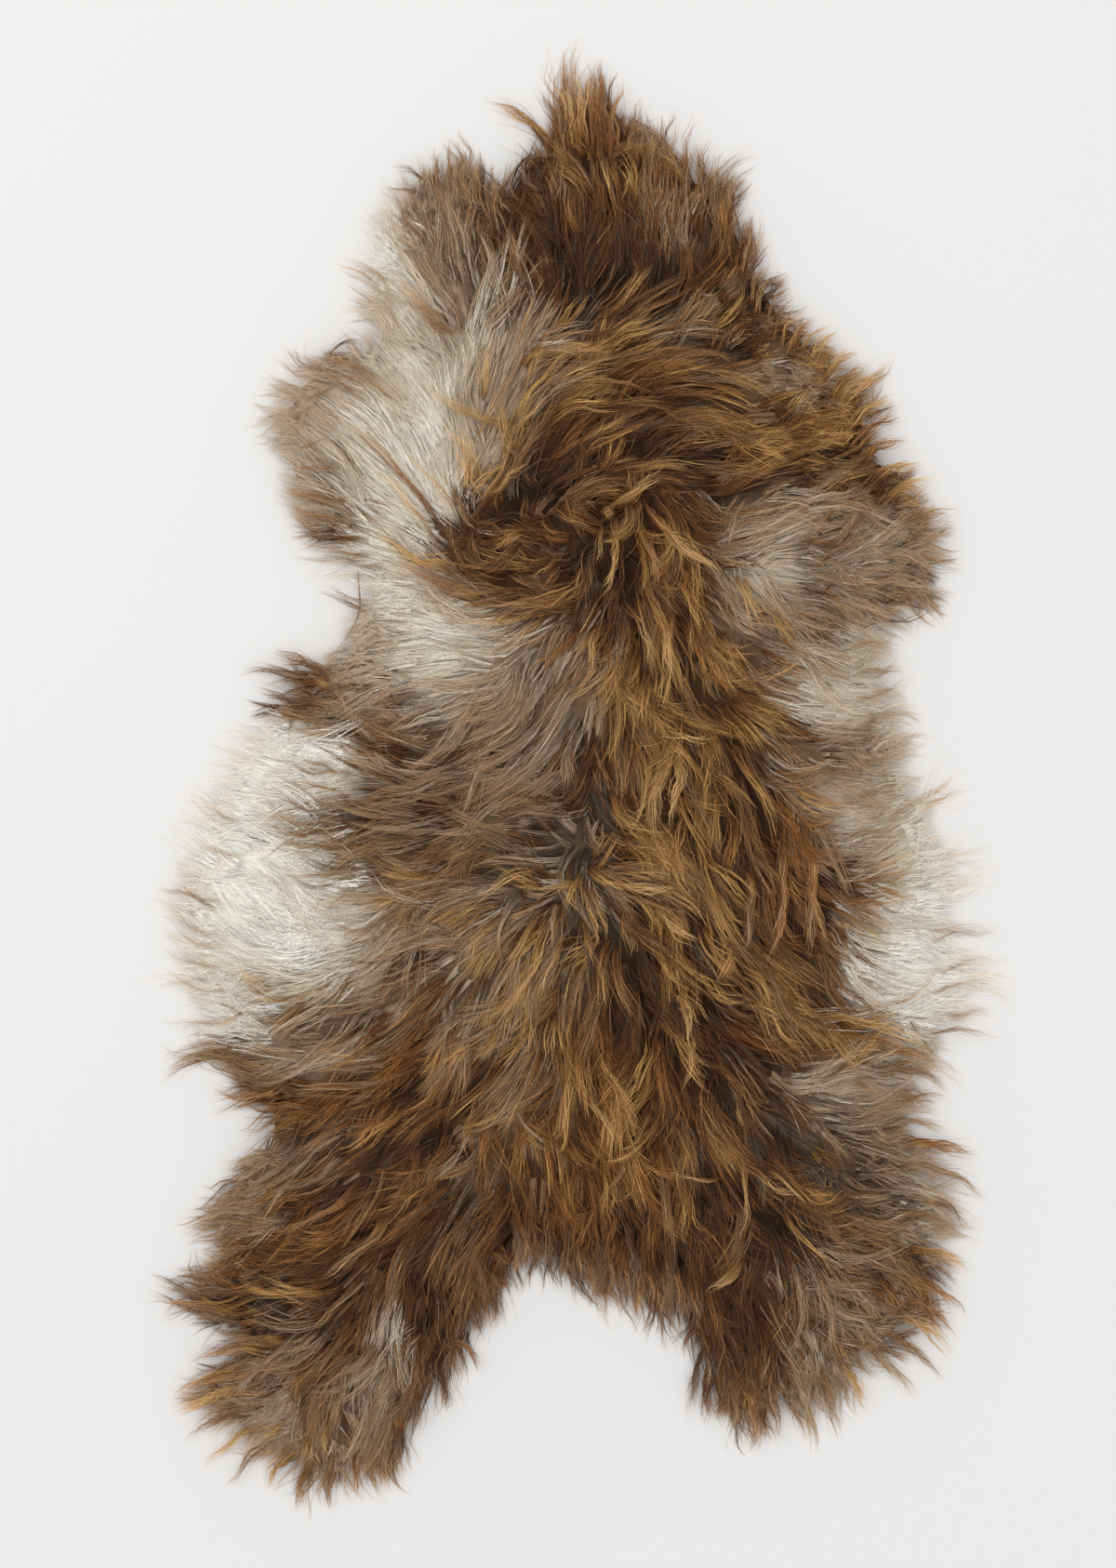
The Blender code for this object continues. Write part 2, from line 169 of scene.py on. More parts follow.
RIGHT_FLANK_COMB = table(
    Comb,
    (900, 800, 5), (930, 840, 15), (900, 880, 0), (950, 900, 18), (1000, 880, 22), (930, 950, 5),
    (1000, 980, 5), (880, 1000, -40), (960, 1030, -5), (1030, 1060, 12), (1030, 1110, -8),
    (940, 1100, -12), (840, 1060, -55), (800, 1090, -45), (860, 1110, -15), (790, 1150, -65),
    (880, 1160, -4), (960, 1150, -12),
)
RIGHT_LEG_COMB = table(
    Comb,
    (830, 1200, -35), (960, 1210, -5), (1020, 1240, -8), (880, 1250, -30), (980, 1290, -12),
    (1030, 1340, -20), (920, 1320, -18), (840, 1300, -55), (880, 1370, -38), (960, 1370, -25),
    (1010, 1420, -48), (940, 1430, -42), (860, 1440, -62), (900, 1490, -55), (820, 1420, -75),
    (800, 1500, -88), (850, 1510, -75), (765, 1500, -100), (780, 1370, -95), (750, 1330, -80),
)
RUMP_COMB = table(
    Comb,
    (560, 1330, -100), (610, 1320, -90), (680, 1330, -84), (720, 1380, -85), (660, 1270, -86),
)
COMBS = (
    NECK_COMB
    + RIGHT_SHOULDER_COMB
    + LEFT_SHOULDER_COMB
    + BACK_COMB
    + LEFT_FLANK_COMB
    + LEFT_LEG_COMB
    + RIGHT_FLANK_COMB
    + RIGHT_LEG_COMB
    + RUMP_COMB
)

# The coat's shades in a row across the colour map, each blending into the next: sRGB at the root, along
# the hair and at the tip. The darker roots are partly the wool's own and partly painted shade between locks
Shade = namedtuple("Shade", "root body tip")
SHADES = {
    "slate": Shade((0.17, 0.14, 0.12), (0.35, 0.30, 0.26), (0.48, 0.41, 0.33)),
    "umber": Shade((0.12, 0.08, 0.05), (0.26, 0.165, 0.10), (0.42, 0.27, 0.15)),
    "ginger": Shade((0.16, 0.09, 0.05), (0.42, 0.25, 0.125), (0.70, 0.46, 0.24)),
    "gold": Shade((0.19, 0.115, 0.06), (0.51, 0.34, 0.17), (0.95, 0.76, 0.47)),
    "brown": Shade((0.18, 0.11, 0.065), (0.39, 0.255, 0.145), (0.61, 0.43, 0.25)),
    "taupe": Shade((0.40, 0.33, 0.27), (0.61, 0.51, 0.41), (0.70, 0.56, 0.41)),
    "grey": Shade((0.77, 0.73, 0.67), (0.86, 0.82, 0.75), (0.82, 0.75, 0.65)),
    "cream": Shade((0.97, 0.96, 0.93), (0.985, 0.98, 0.955), (0.975, 0.96, 0.92)),
}
NAMES = list(SHADES)
TIP_SHINE_COLOUR = (0.88, 0.79, 0.67)  # painted light: the colour of thin tips that light shines through

# Where a shade shows: an oval of the coat, its length along a heading, and how strongly it holds there
Patch = namedtuple("Patch", "x_px y_px length_px width_px heading weight shade", defaults=(None,))


def patch_rows(**shades):
    """Patches of the coat, listed under their shades."""
    return tuple(Patch(*row, shade) for shade, rows in shades.items() for row in rows)


def weighted(rows, factor):
    """Patches with their weights multiplied."""
    return tuple(patch._replace(weight=patch.weight * factor) for patch in rows)


LIGHT_PATCHES = patch_rows(
    cream=(
        (448, 478, 84, 50, 116, 4.5), (425, 615, 62, 50, 90, 2.5), (500, 692, 60, 30, 0, 3),
        (415, 285, 60, 34, 100, 2.5), (414, 226, 50, 28, 100, 6), (900, 735, 35, 30, 0, 1.5),
    ),
    grey=(
        (442, 484, 100, 60, 116, 5), (500, 455, 66, 30, 80, 9), (380, 450, 75, 50, 140, 4),
        (310, 510, 95, 36, 90, 4), (425, 615, 68, 56, 90, 3), (530, 445, 84, 26, 68, 9),
        (440, 690, 95, 44, 0, 3), (440, 350, 50, 48, 120, 4), (425, 395, 50, 42, 120, 4),
        (522, 365, 45, 18, 75, 3), (815, 612, 50, 40, 60, 5), (860, 562, 52, 24, 50, 2),
        (960, 590, 60, 40, 10, 1.5), (910, 628, 26, 16, 0, 3), (900, 740, 60, 50, 0, 4),
        (985, 815, 72, 36, 80, 12), (990, 905, 66, 46, 80, 14), (945, 870, 40, 34, 0, 7),
        (985, 720, 50, 24, 90, 4), (930, 860, 60, 42, 10, 6), (938, 1014, 42, 32, 0, 8),
        (462, 625, 40, 28, 0, 4), (940, 700, 40, 34, 0, 7), (262, 1552, 60, 40, -140, 3),
        (385, 1022, 42, 30, -160, 3), (400, 1000, 42, 36, -120, 2), (345, 1135, 50, 16, 178, 2),
        (420, 1440, 58, 16, -100, 2.5), (900, 1168, 50, 22, -4, 5), (970, 1140, 50, 28, -10, 2),
        (985, 1182, 44, 24, 0, 5), (1012, 1300, 46, 40, 0, 3), (832, 1400, 42, 10, -62, 1.2),
        (495, 742, 52, 32, 0, 4),
    ),
    taupe=(
        (335, 430, 50, 50, 90, 7), (325, 530, 50, 26, 155, 3), (410, 690, 42, 30, 0, 5),
        (540, 428, 84, 34, 68, 26), (400, 760, 60, 30, 0, 4), (415, 415, 60, 40, 140, 4),
        (480, 240, 75, 50, 110, 6), (475, 330, 50, 30, 100, 3), (740, 350, 50, 20, 30, 1.5),
        (760, 370, 60, 25, 20, 1), (860, 400, 65, 28, 10, 6), (710, 250, 35, 50, 90, 1),
        (830, 590, 85, 50, 40, 4), (930, 605, 95, 58, 0, 6), (870, 700, 60, 44, -30, 3),
        (905, 850, 60, 58, 10, 10), (560, 765, 95, 65, -100, 14), (590, 870, 35, 20, 150, 4),
        (585, 745, 42, 34, 0, 12), (580, 1185, 40, 36, -90, 5), (580, 975, 42, 34, 0, 4),
        (590, 905, 60, 40, 0, 5), (625, 945, 42, 32, 0, 4), (462, 222, 36, 42, 90, 7),
        (905, 1212, 60, 36, 0, 5), (862, 820, 42, 32, 0, 6), (480, 850, 90, 50, 0, 1.5),
        (420, 1060, 50, 36, -130, 7), (430, 960, 50, 45, -120, 2), (480, 1060, 42, 32, -120, 3),
        (545, 1030, 80, 72, -110, 6), (300, 1082, 80, 30, 172, 4), (345, 1140, 60, 26, 178, 5),
        (515, 1248, 38, 16, -80, 5), (500, 1290, 62, 26, -105, 0.5), (340, 1240, 70, 38, -160, 3),
        (260, 1310, 60, 32, -165, 3), (400, 1490, 62, 38, -100, 3), (310, 1440, 60, 22, -140, 3),
        (905, 1165, 64, 26, -4, 7), (965, 1215, 64, 36, -5, 9), (275, 1545, 70, 42, -140, 9),
        (990, 1290, 72, 52, -10, 3), (900, 1390, 92, 48, -40, 5), (900, 1465, 85, 52, -50, 8),
        (350, 1570, 62, 42, -120, 7), (235, 1500, 55, 55, -145, 6), (888, 392, 60, 32, 45, 6),
        (790, 640, 60, 26, 90, 4),
    ),
    slate=(
        (935, 595, 90, 46, 0, 1), (595, 905, 66, 48, 0, 8), (640, 985, 40, 52, 90, 4),
        (260, 1400, 70, 32, 175, 4), (890, 1190, 72, 42, -4, 2.5), (900, 1250, 82, 42, -25, 4),
    ),
    brown=((885, 575, 60, 22, 30, 2.5),),
)
WHITE_PATCHES = patch_rows(
    cream=(
        (272, 850, 60, 46, 165, 14), (318, 820, 62, 34, 165, 12), (262, 958, 88, 66, 172, 22),
        (225, 1070, 66, 44, 172, 10), (1018, 903, 50, 64, 10, 22), (1018, 1045, 78, 48, 5, 22),
        (965, 1040, 46, 30, -5, 10), (1015, 985, 56, 46, 5, 16),
    ),
    grey=(
        (265, 1042, 95, 20, 172, 6), (338, 975, 38, 38, 178, 6), (205, 965, 45, 60, 165, 3),
        (968, 900, 40, 58, 10, 8),
    ),
)
DARK_PATCHES = patch_rows(
    umber=(
        (565, 190, 42, 42, 90, 12), (590, 265, 72, 58, 0, 20), (660, 235, 60, 60, 0, 5),
        (700, 322, 60, 32, 0, 5), (798, 346, 36, 24, 62, 12), (588, 508, 46, 42, 40, 8),
        (550, 548, 46, 26, 50, 10), (515, 588, 58, 30, 0, 14), (640, 480, 70, 40, 20, 5),
        (700, 500, 70, 35, 20, 3), (900, 515, 70, 24, 10, 6), (680, 640, 40, 70, 90, 4),
        (760, 620, 40, 50, -50, 4), (800, 810, 40, 40, -60, 3), (830, 880, 42, 62, -70, 4),
        (630, 850, 50, 40, 0, 3), (830, 980, 50, 70, -80, 4), (720, 1085, 80, 50, -60, 9),
        (800, 1150, 60, 60, -60, 6), (850, 1150, 42, 24, -30, 6), (840, 1330, 42, 36, -50, 6),
        (500, 1325, 42, 30, -100, 5), (670, 1220, 36, 36, 0, 4), (420, 1220, 90, 40, -140, 4),
        (400, 1340, 100, 35, -140, 5), (650, 1352, 92, 42, -8, 30), (690, 1396, 76, 34, 0, 30),
        (620, 1345, 60, 40, 0, 16), (875, 1340, 62, 32, -20, 9), (420, 1380, 52, 40, -120, 8),
        (600, 1372, 60, 30, 0, 20), (745, 1345, 40, 52, -80, 12), (742, 1300, 40, 44, -80, 8),
        (450, 852, 56, 40, 0, 8), (350, 1270, 60, 30, -150, 2.5), (490, 1430, 42, 62, -100, 12),
        (775, 1415, 46, 68, -90, 20), (800, 1290, 50, 60, -70, 5), (345, 745, 66, 20, 165, 4),
    ),
    brown=((500, 620, 50, 26, 0, 12), (560, 655, 60, 20, 0, 5)),
)
WARM_PATCHES = patch_rows(
    ginger=(
        (630, 120, 50, 60, 92, 6), (560, 125, 45, 25, 160, 8), (660, 200, 45, 60, 90, 2.5),
        (790, 270, 50, 60, 60, 2), (720, 430, 80, 35, 25, 3), (850, 900, 30, 90, 0, 3),
        (640, 1180, 80, 60, -90, 7), (630, 1255, 80, 90, -90, 14), (570, 1370, 60, 25, 0, 3),
        (700, 1400, 50, 25, 0, 3), (640, 1360, 90, 50, -90, 5), (320, 1310, 110, 30, -150, 3),
        (450, 1120, 110, 40, -140, 3), (300, 1190, 70, 20, -165, 3), (1000, 1400, 60, 30, -45, 4),
        (740, 1210, 60, 30, -60, 3),
    ),
    gold=(
        (620, 390, 60, 46, 60, 3), (538, 470, 84, 24, 66, 12), (890, 395, 70, 50, 45, 5),
        (960, 470, 60, 40, 20, 4), (855, 462, 90, 34, 5, 8), (872, 385, 56, 40, 45, 6),
        (990, 550, 40, 30, 20, 4), (690, 560, 60, 35, -30, 3), (700, 700, 60, 70, -80, 5),
        (720, 820, 50, 70, -80, 3), (720, 950, 70, 45, -30, 2), (550, 1015, 74, 64, -110, 12),
        (588, 1140, 44, 40, -90, 6), (620, 1190, 60, 60, -90, 6), (235, 1500, 60, 60, -145, 7),
        (330, 1575, 90, 45, -120, 5), (780, 785, 50, 36, -60, 4), (310, 1085, 60, 24, 170, 3),
        (895, 960, 42, 30, 5, 2.5), (930, 1110, 70, 18, -15, 4), (985, 870, 40, 60, 15, 2),
    ),
    brown=((880, 1050, 42, 32, -20, 12), (365, 880, 50, 60, 165, 2)),
    taupe=(
        (390, 870, 60, 60, 165, 2.5), (375, 825, 60, 28, 165, 8), (340, 862, 42, 24, 165, 6),
        (935, 965, 45, 34, 5, 3),
    ),
)
UNDER_SHARES = {"brown": 1.0, "umber": 0.3, "slate": 0.25, "taupe": 0.15}
UNDER_PATCHES = DARK_PATCHES + weighted(LIGHT_PATCHES + WHITE_PATCHES, 2)
OUTER_SHARES = {"brown": 1.0, "umber": 0.3, "taupe": 0.12, "slate": 0.06, "ginger": 0.35, "gold": 0.15}
OUTER_PATCHES = DARK_PATCHES + WARM_PATCHES + weighted(LIGHT_PATCHES, 1.3) + weighted(WHITE_PATCHES, 2.5)

# Where golden-tipped locks lie over the rest, and how many there are for their area
GOLDEN_PATCHES = patch_rows(
    gold=(
        (600, 400, 100, 60, 60, 1.0), (700, 430, 110, 55, 25, 1.0), (540, 470, 90, 30, 60, 0.6),
        (560, 590, 90, 45, 175, 0.7), (700, 560, 90, 50, -40, 1.0), (690, 690, 80, 100, -80, 1.4),
        (720, 850, 90, 70, -80, 1.2), (700, 960, 100, 60, -40, 1.0), (555, 1020, 90, 70, -110, 2.2),
        (450, 930, 80, 50, -160, 0.5), (740, 1090, 90, 90, -70, 0.9), (620, 1180, 100, 60, -90, 0.8),
        (830, 1100, 90, 40, -30, 0.6), (830, 1270, 90, 90, -60, 0.35),
    ),
    ginger=(
        (860, 420, 110, 60, 20, 0.8), (760, 700, 100, 40, -60, 0.9), (830, 880, 100, 60, -70, 1.0),
        (640, 1300, 110, 60, -88, 0.7), (450, 1130, 110, 70, -130, 0.6), (340, 1330, 130, 60, -145, 0.5),
        (650, 200, 60, 90, 90, 0.5),
    ),
)

# Where the coat stops shorter at the rim than elsewhere, by so many mm, or runs on where that is negative
TRIMS = table(
    Patch,
    (890, 365, 120, 50, -48, 23), (832, 290, 60, 30, -70, 16), (990, 520, 60, 45, -60, 25),
    (1000, 690, 36, 44, 90, 12), (345, 712, 52, 50, 90, 38), (700, 130, 40, 40, 0, 24),
    (995, 830, 90, 40, 90, 14), (792, 200, 60, 34, -70, 10), (1032, 1218, 40, 36, 0, 12),
    (404, 215, 44, 34, 90, 12), (255, 1555, 70, 45, -50, 17), (965, 1460, 60, 34, -50, 18),
    (655, 1395, 115, 40, 15, -20), (1030, 1350, 60, 34, 90, -14), (175, 1385, 50, 34, 0, -20),
    (185, 1500, 44, 40, 0, -18),
)
TRIM_CUT = 0.35  # of a trim's size, the height of the solid at which the trimmed reach ends there

# Single tufts and strands as the photograph shows them: from root to tip, bowed to their left by so much
# in the middle
Tuft = namedtuple("Tuft", "root_x root_y tip_x tip_y bow_px width_px shade")
NECK_TUFTS = table(
    Tuft,
    (552, 205, 602, 174, 18, 8, "umber"), (600, 175, 520, 110, -14, 12, "ginger"),
    (603, 170, 526, 116, -10, 7, "gold"), (610, 150, 588, 78, -8, 6, "gold"),
    (618, 170, 606, 92, -4, 10, "gold"), (628, 170, 626, 74, 3, 14, "gold"),
    (640, 170, 633, 64, -3, 14, "ginger"), (652, 170, 647, 62, 5, 12, "ginger"),
    (662, 180, 668, 84, 6, 14, "ginger"), (680, 190, 692, 104, 5, 12, "brown"),
    (700, 205, 704, 138, 3, 8, "brown"), (720, 215, 736, 128, 6, 8, "brown"),
    (735, 210, 747, 116, 5, 8, "ginger"), (752, 225, 764, 146, 5, 8, "brown"),
    (765, 235, 778, 158, 5, 8, "brown"), (780, 260, 794, 182, 6, 8, "brown"),
    (786, 275, 803, 205, 6, 6, "brown"), (790, 290, 812, 228, 6, 7, "umber"),
    (796, 305, 818, 246, 6, 6, "brown"), (800, 320, 824, 264, 6, 7, "umber"),
    (560, 230, 556, 172, 8, 8, "umber"), (572, 225, 548, 182, 12, 8, "umber"),
    (590, 215, 562, 170, 14, 10, "umber"), (540, 240, 534, 182, 5, 10, "brown"),
    (520, 230, 514, 166, 5, 12, "brown"), (505, 230, 500, 156, 5, 12, "brown"),
    (490, 225, 486, 152, 5, 10, "brown"), (478, 225, 470, 158, 4, 12, "brown"),
    (465, 225, 442, 162, -6, 5, "taupe"), (465, 200, 412, 182, -5, 5, "umber"),
    (460, 205, 404, 196, 6, 4, "brown"), (435, 265, 414, 196, -10, 5, "brown"),
    (440, 290, 406, 238, -6, 8, "taupe"), (425, 330, 376, 278, -9, 5, "taupe"),
    (430, 345, 388, 296, -6, 6, "taupe"), (440, 370, 384, 318, -9, 6, "taupe"),
    (470, 350, 420, 262, -6, 12, "grey"), (500, 370, 440, 316, 6, 16, "brown"),
    (495, 350, 426, 306, 8, 8, "gold"),
)
RIGHT_SHOULDER_TUFTS = table(
    Tuft,
    (806, 335, 832, 280, 7, 6, "brown"), (812, 350, 838, 296, 8, 8, "brown"),
    (822, 360, 848, 308, 8, 6, "brown"), (832, 370, 860, 320, 8, 7, "brown"),
    (838, 378, 868, 330, 8, 6, "gold"), (845, 385, 880, 342, 8, 11, "ginger"),
    (855, 395, 894, 350, 8, 7, "gold"), (865, 405, 908, 356, 9, 11, "gold"),
    (874, 412, 916, 370, 9, 6, "ginger"), (880, 420, 928, 380, 9, 11, "gold"),
    (890, 435, 942, 394, 9, 11, "ginger"), (896, 442, 948, 402, 9, 6, "gold"),
    (900, 450, 954, 406, 9, 11, "gold"), (905, 470, 966, 428, 9, 12, "gold"),
    (915, 485, 972, 450, 9, 11, "ginger"), (920, 500, 980, 474, 8, 11, "ginger"),
    (930, 525, 996, 498, 9, 12, "gold"), (940, 545, 1010, 518, 9, 12, "gold"),
    (950, 575, 1036, 550, 9, 12, "brown"), (955, 600, 1036, 576, 8, 12, "taupe"),
    (950, 612, 1028, 598, 10, 9, "taupe"), (920, 600, 1014, 622, 14, 20, "taupe"),
    (920, 630, 1012, 644, 12, 16, "taupe"), (900, 650, 962, 676, 9, 14, "taupe"),
    (690, 540, 776, 624, -9, 9, "gold"), (700, 548, 768, 608, -7, 7, "gold"),
    (640, 556, 715, 501, -6, 5, "gold"), (648, 552, 708, 515, -4, 4, "gold"),
    (645, 562, 634, 617, 5, 4, "gold"), (660, 560, 645, 650, 8, 9, "gold"),
    (680, 560, 704, 640, 8, 9, "ginger"), (900, 540, 850, 590, 6, 5, "brown"),
    (850, 580, 949, 577, -10, 6, "umber"), (870, 620, 915, 590, 10, 6, "umber"),
    (870, 565, 930, 545, 6, 8, "brown"), (880, 650, 925, 605, 8, 6, "slate"),
    (901, 640, 985, 601, -10, 8, "brown"), (905, 612, 985, 601, -9, 8, "taupe"),
    (928, 661, 1012, 652, -12, 8, "slate"), (958, 604, 1015, 586, -6, 6, "brown"),
    (970, 577, 1039, 559, -8, 6, "ginger"), (811, 658, 829, 679, 6, 8, "slate"),
    (835, 682, 874, 700, -8, 5, "ginger"), (930, 730, 965, 700, -8, 6, "brown"),
    (935, 745, 972, 722, -8, 6, "umber"),
)
LEFT_SHOULDER_TUFTS = table(
    Tuft,
    (350, 390, 403, 386, 20, 3, "slate"), (384, 600, 352, 720, 16, 3, "slate"),
    (488, 590, 348, 440, -14, 9, "ginger"), (478, 600, 380, 488, -10, 8, "gold"),
    (500, 570, 426, 486, -8, 7, "gold"), (505, 580, 462, 490, -5, 5, "brown"),
    (500, 620, 398, 568, 9, 9, "gold"), (530, 650, 420, 590, 8, 10, "ginger"),
    (560, 460, 452, 416, 10, 9, "gold"), (565, 470, 480, 430, 8, 5, "brown"),
    (500, 575, 560, 440, -10, 5, "ginger"), (505, 565, 548, 478, -6, 4, "gold"),
    (512, 560, 588, 440, -8, 5, "brown"), (520, 545, 600, 418, -8, 5, "ginger"),
    (538, 492, 602, 420, 4, 5, "gold"), (512, 545, 575, 488, -5, 6, "gold"),
    (530, 440, 575, 350, -5, 6, "brown"), (560, 440, 600, 360, 5, 6, "gold"),
    (575, 380, 622, 358, 9, 6, "ginger"), (590, 430, 640, 395, 5, 6, "gold"),
    (420, 420, 328, 384, -8, 10, "brown"), (400, 440, 312, 396, -9, 8, "brown"),
    (430, 440, 345, 400, -8, 7, "ginger"), (370, 415, 288, 424, 12, 4, "brown"),
    (350, 420, 284, 446, 14, 4, "taupe"), (330, 430, 296, 482, 14, 5, "taupe"),
    (360, 470, 278, 476, 12, 4, "brown"), (370, 500, 282, 492, 10, 4, "ginger"),
    (390, 540, 296, 520, 8, 9, "brown"), (400, 560, 300, 540, 9, 9, "brown"),
    (400, 580, 304, 560, 8, 9, "umber"), (410, 595, 320, 578, 7, 5, "ginger"),
    (420, 610, 346, 592, 6, 5, "umber"), (400, 668, 336, 634, -6, 8, "umber"),
    (410, 648, 346, 627, 5, 5, "brown"), (640, 640, 520, 650, 8, 9, "ginger"),
    (600, 650, 480, 672, 9, 7, "gold"), (560, 640, 440, 660, -8, 6, "brown"),
    (590, 660, 528, 700, 7, 7, "gold"),
)
BACK_TUFTS = table(
    Tuft,
    (640, 680, 614, 760, 8, 8, "gold"), (650, 670, 632, 730, -6, 8, "gold"),
    (670, 650, 700, 730, 10, 7, "gold"), (720, 660, 722, 738, -6, 10, "gold"),
    (735, 660, 738, 720, 5, 8, "ginger"), (740, 780, 704, 915, -16, 10, "gold"),
    (725, 790, 716, 890, 8, 10, "gold"), (735, 800, 690, 890, -10, 8, "gold"),
    (700, 800, 672, 900, 8, 8, "gold"), (700, 780, 770, 790, -10, 8, "gold"),
    (640, 930, 740, 950, -14, 9, "gold"), (650, 920, 730, 935, -10, 8, "gold"),
    (700, 960, 752, 1010, -9, 10, "gold"), (590, 980, 548, 1085, 6, 10, "gold"),
    (580, 970, 536, 1040, 6, 8, "gold"), (610, 1000, 580, 1080, -6, 8, "gold"),
    (640, 940, 545, 950, 10, 8, "gold"), (600, 930, 500, 975, -10, 8, "gold"),
    (740, 1090, 732, 1175, 6, 8, "gold"), (735, 1050, 745, 1130, -6, 8, "gold"),
    (860, 900, 862, 1035, 8, 14, "brown"), (840, 900, 820, 1040, 8, 12, "ginger"),
    (875, 900, 884, 1020, -8, 12, "ginger"), (800, 920, 795, 1030, 6, 10, "brown"),
)
LEFT_FLANK_TUFTS = table(
    Tuft,
    (370, 745, 258, 722, -8, 14, "umber"), (360, 740, 284, 702, -12, 12, "brown"),
    (370, 755, 276, 738, 8, 16, "umber"), (350, 770, 300, 764, 5, 12, "brown"),
    (380, 830, 285, 808, 10, 5, "brown"), (380, 845, 290, 828, 10, 5, "ginger"),
    (375, 838, 300, 815, -8, 4, "brown"), (370, 880, 266, 856, 14, 6, "brown"),
    (360, 890, 272, 880, 12, 5, "ginger"), (365, 870, 284, 838, 14, 4, "brown"),
    (400, 905, 288, 896, 10, 7, "brown"), (395, 930, 300, 902, 14, 6, "umber"),
    (385, 935, 305, 928, 22, 5, "umber"), (410, 960, 330, 985, -8, 8, "taupe"),
    (420, 990, 345, 988, 12, 8, "brown"), (415, 1000, 350, 1010, 10, 6, "umber"),
    (270, 900, 205, 865, 8, 8, "cream"), (275, 920, 200, 893, 9, 4, "taupe"),
    (265, 940, 190, 926, 9, 12, "cream"), (260, 1004, 172, 968, 14, 4, "taupe"),
    (255, 968, 178, 938, 10, 4, "taupe"), (250, 990, 164, 955, -8, 3, "brown"),
    (270, 885, 212, 852, 9, 4, "taupe"), (265, 1014, 176, 984, 14, 4, "taupe"),
    (260, 1034, 160, 1010, 12, 5, "taupe"), (265, 1062, 170, 1038, 12, 5, "taupe"),
    (300, 1050, 256, 1036, 6, 5, "gold"), (320, 1070, 268, 1062, 6, 4, "gold"),
    (270, 1080, 225, 1098, 8, 6, "gold"), (260, 1090, 168, 1092, 10, 5, "taupe"),
    (290, 1135, 164, 1124, 8, 6, "brown"), (280, 1145, 180, 1138, -6, 5, "brown"),
    (310, 1165, 224, 1170, 12, 12, "ginger"), (310, 1180, 252, 1214, 14, 8, "brown"),
    (330, 1190, 274, 1240, 16, 10, "umber"), (340, 1200, 288, 1236, 14, 8, "umber"),
)
LEFT_LEG_TUFTS = table(
    Tuft,
    (320, 1250, 236, 1260, -12, 12, "taupe"), (310, 1265, 226, 1296, 12, 12, "brown"),
    (290, 1300, 186, 1322, -8, 12, "taupe"), (290, 1320, 214, 1342, 9, 12, "brown"),
    (290, 1370, 162, 1380, 12, 16, "umber"), (280, 1385, 166, 1392, 14, 14, "ginger"),
    (290, 1410, 196, 1402, 10, 16, "umber"), (320, 1430, 230, 1432, 6, 14, "brown"),
    (300, 1450, 200, 1468, -10, 18, "ginger"), (290, 1470, 184, 1500, -8, 16, "ginger"),
    (280, 1490, 190, 1522, -8, 16, "gold"), (280, 1510, 196, 1552, -8, 14, "brown"),
    (290, 1530, 220, 1582, -8, 14, "gold"), (300, 1540, 246, 1600, -7, 14, "brown"),
    (320, 1550, 282, 1614, -6, 14, "gold"), (340, 1560, 316, 1630, -5, 14, "brown"),
    (365, 1560, 354, 1626, -5, 14, "brown"), (390, 1550, 386, 1612, -4, 14, "ginger"),
    (410, 1540, 414, 1600, 4, 14, "brown"), (425, 1510, 426, 1580, 6, 12, "umber"),
    (440, 1480, 448, 1545, 7, 10, "umber"), (460, 1460, 478, 1524, 9, 10, "umber"),
    (480, 1440, 516, 1472, 9, 10, "ginger"), (490, 1400, 520, 1440, 8, 12, "umber"),
    (400, 1260, 300, 1320, 8, 12, "ginger"), (430, 1290, 340, 1370, 8, 10, "brown"),
)
RUMP_TUFTS = table(
    Tuft,
    (560, 1290, 556, 1366, 3, 24, "umber"), (600, 1300, 602, 1388, 3, 26, "umber"),
    (640, 1300, 644, 1398, 3, 26, "umber"), (680, 1310, 684, 1408, 3, 26, "umber"),
    (715, 1320, 720, 1416, 3, 24, "umber"), (560, 1320, 552, 1376, 4, 14, "ginger"),
    (580, 1310, 588, 1370, 4, 14, "umber"), (605, 1320, 622, 1398, 4, 12, "umber"),
    (630, 1330, 634, 1404, 4, 12, "ginger"), (655, 1340, 668, 1410, 4, 12, "umber"),
    (680, 1350, 684, 1420, 4, 12, "ginger"), (700, 1350, 708, 1426, 4, 12, "ginger"),
    (720, 1350, 736, 1424, 4, 12, "ginger"), (800, 1335, 750, 1390, 10, 8, "gold"),
    (795, 1340, 755, 1378, 9, 7, "gold"), (780, 1260, 720, 1250, 10, 8, "gold"),
    (620, 1170, 660, 1230, 9, 8, "gold"),
)
RUMP_FRINGE = tuple(
    Tuft(x, 1125 + 0.32 * x, x + 8, 1164 + 0.36 * x, 4, 8, shade)
    for x, shade in zip(range(548, 744, 5), itertools.cycle(("umber", "umber", "ginger")))
)
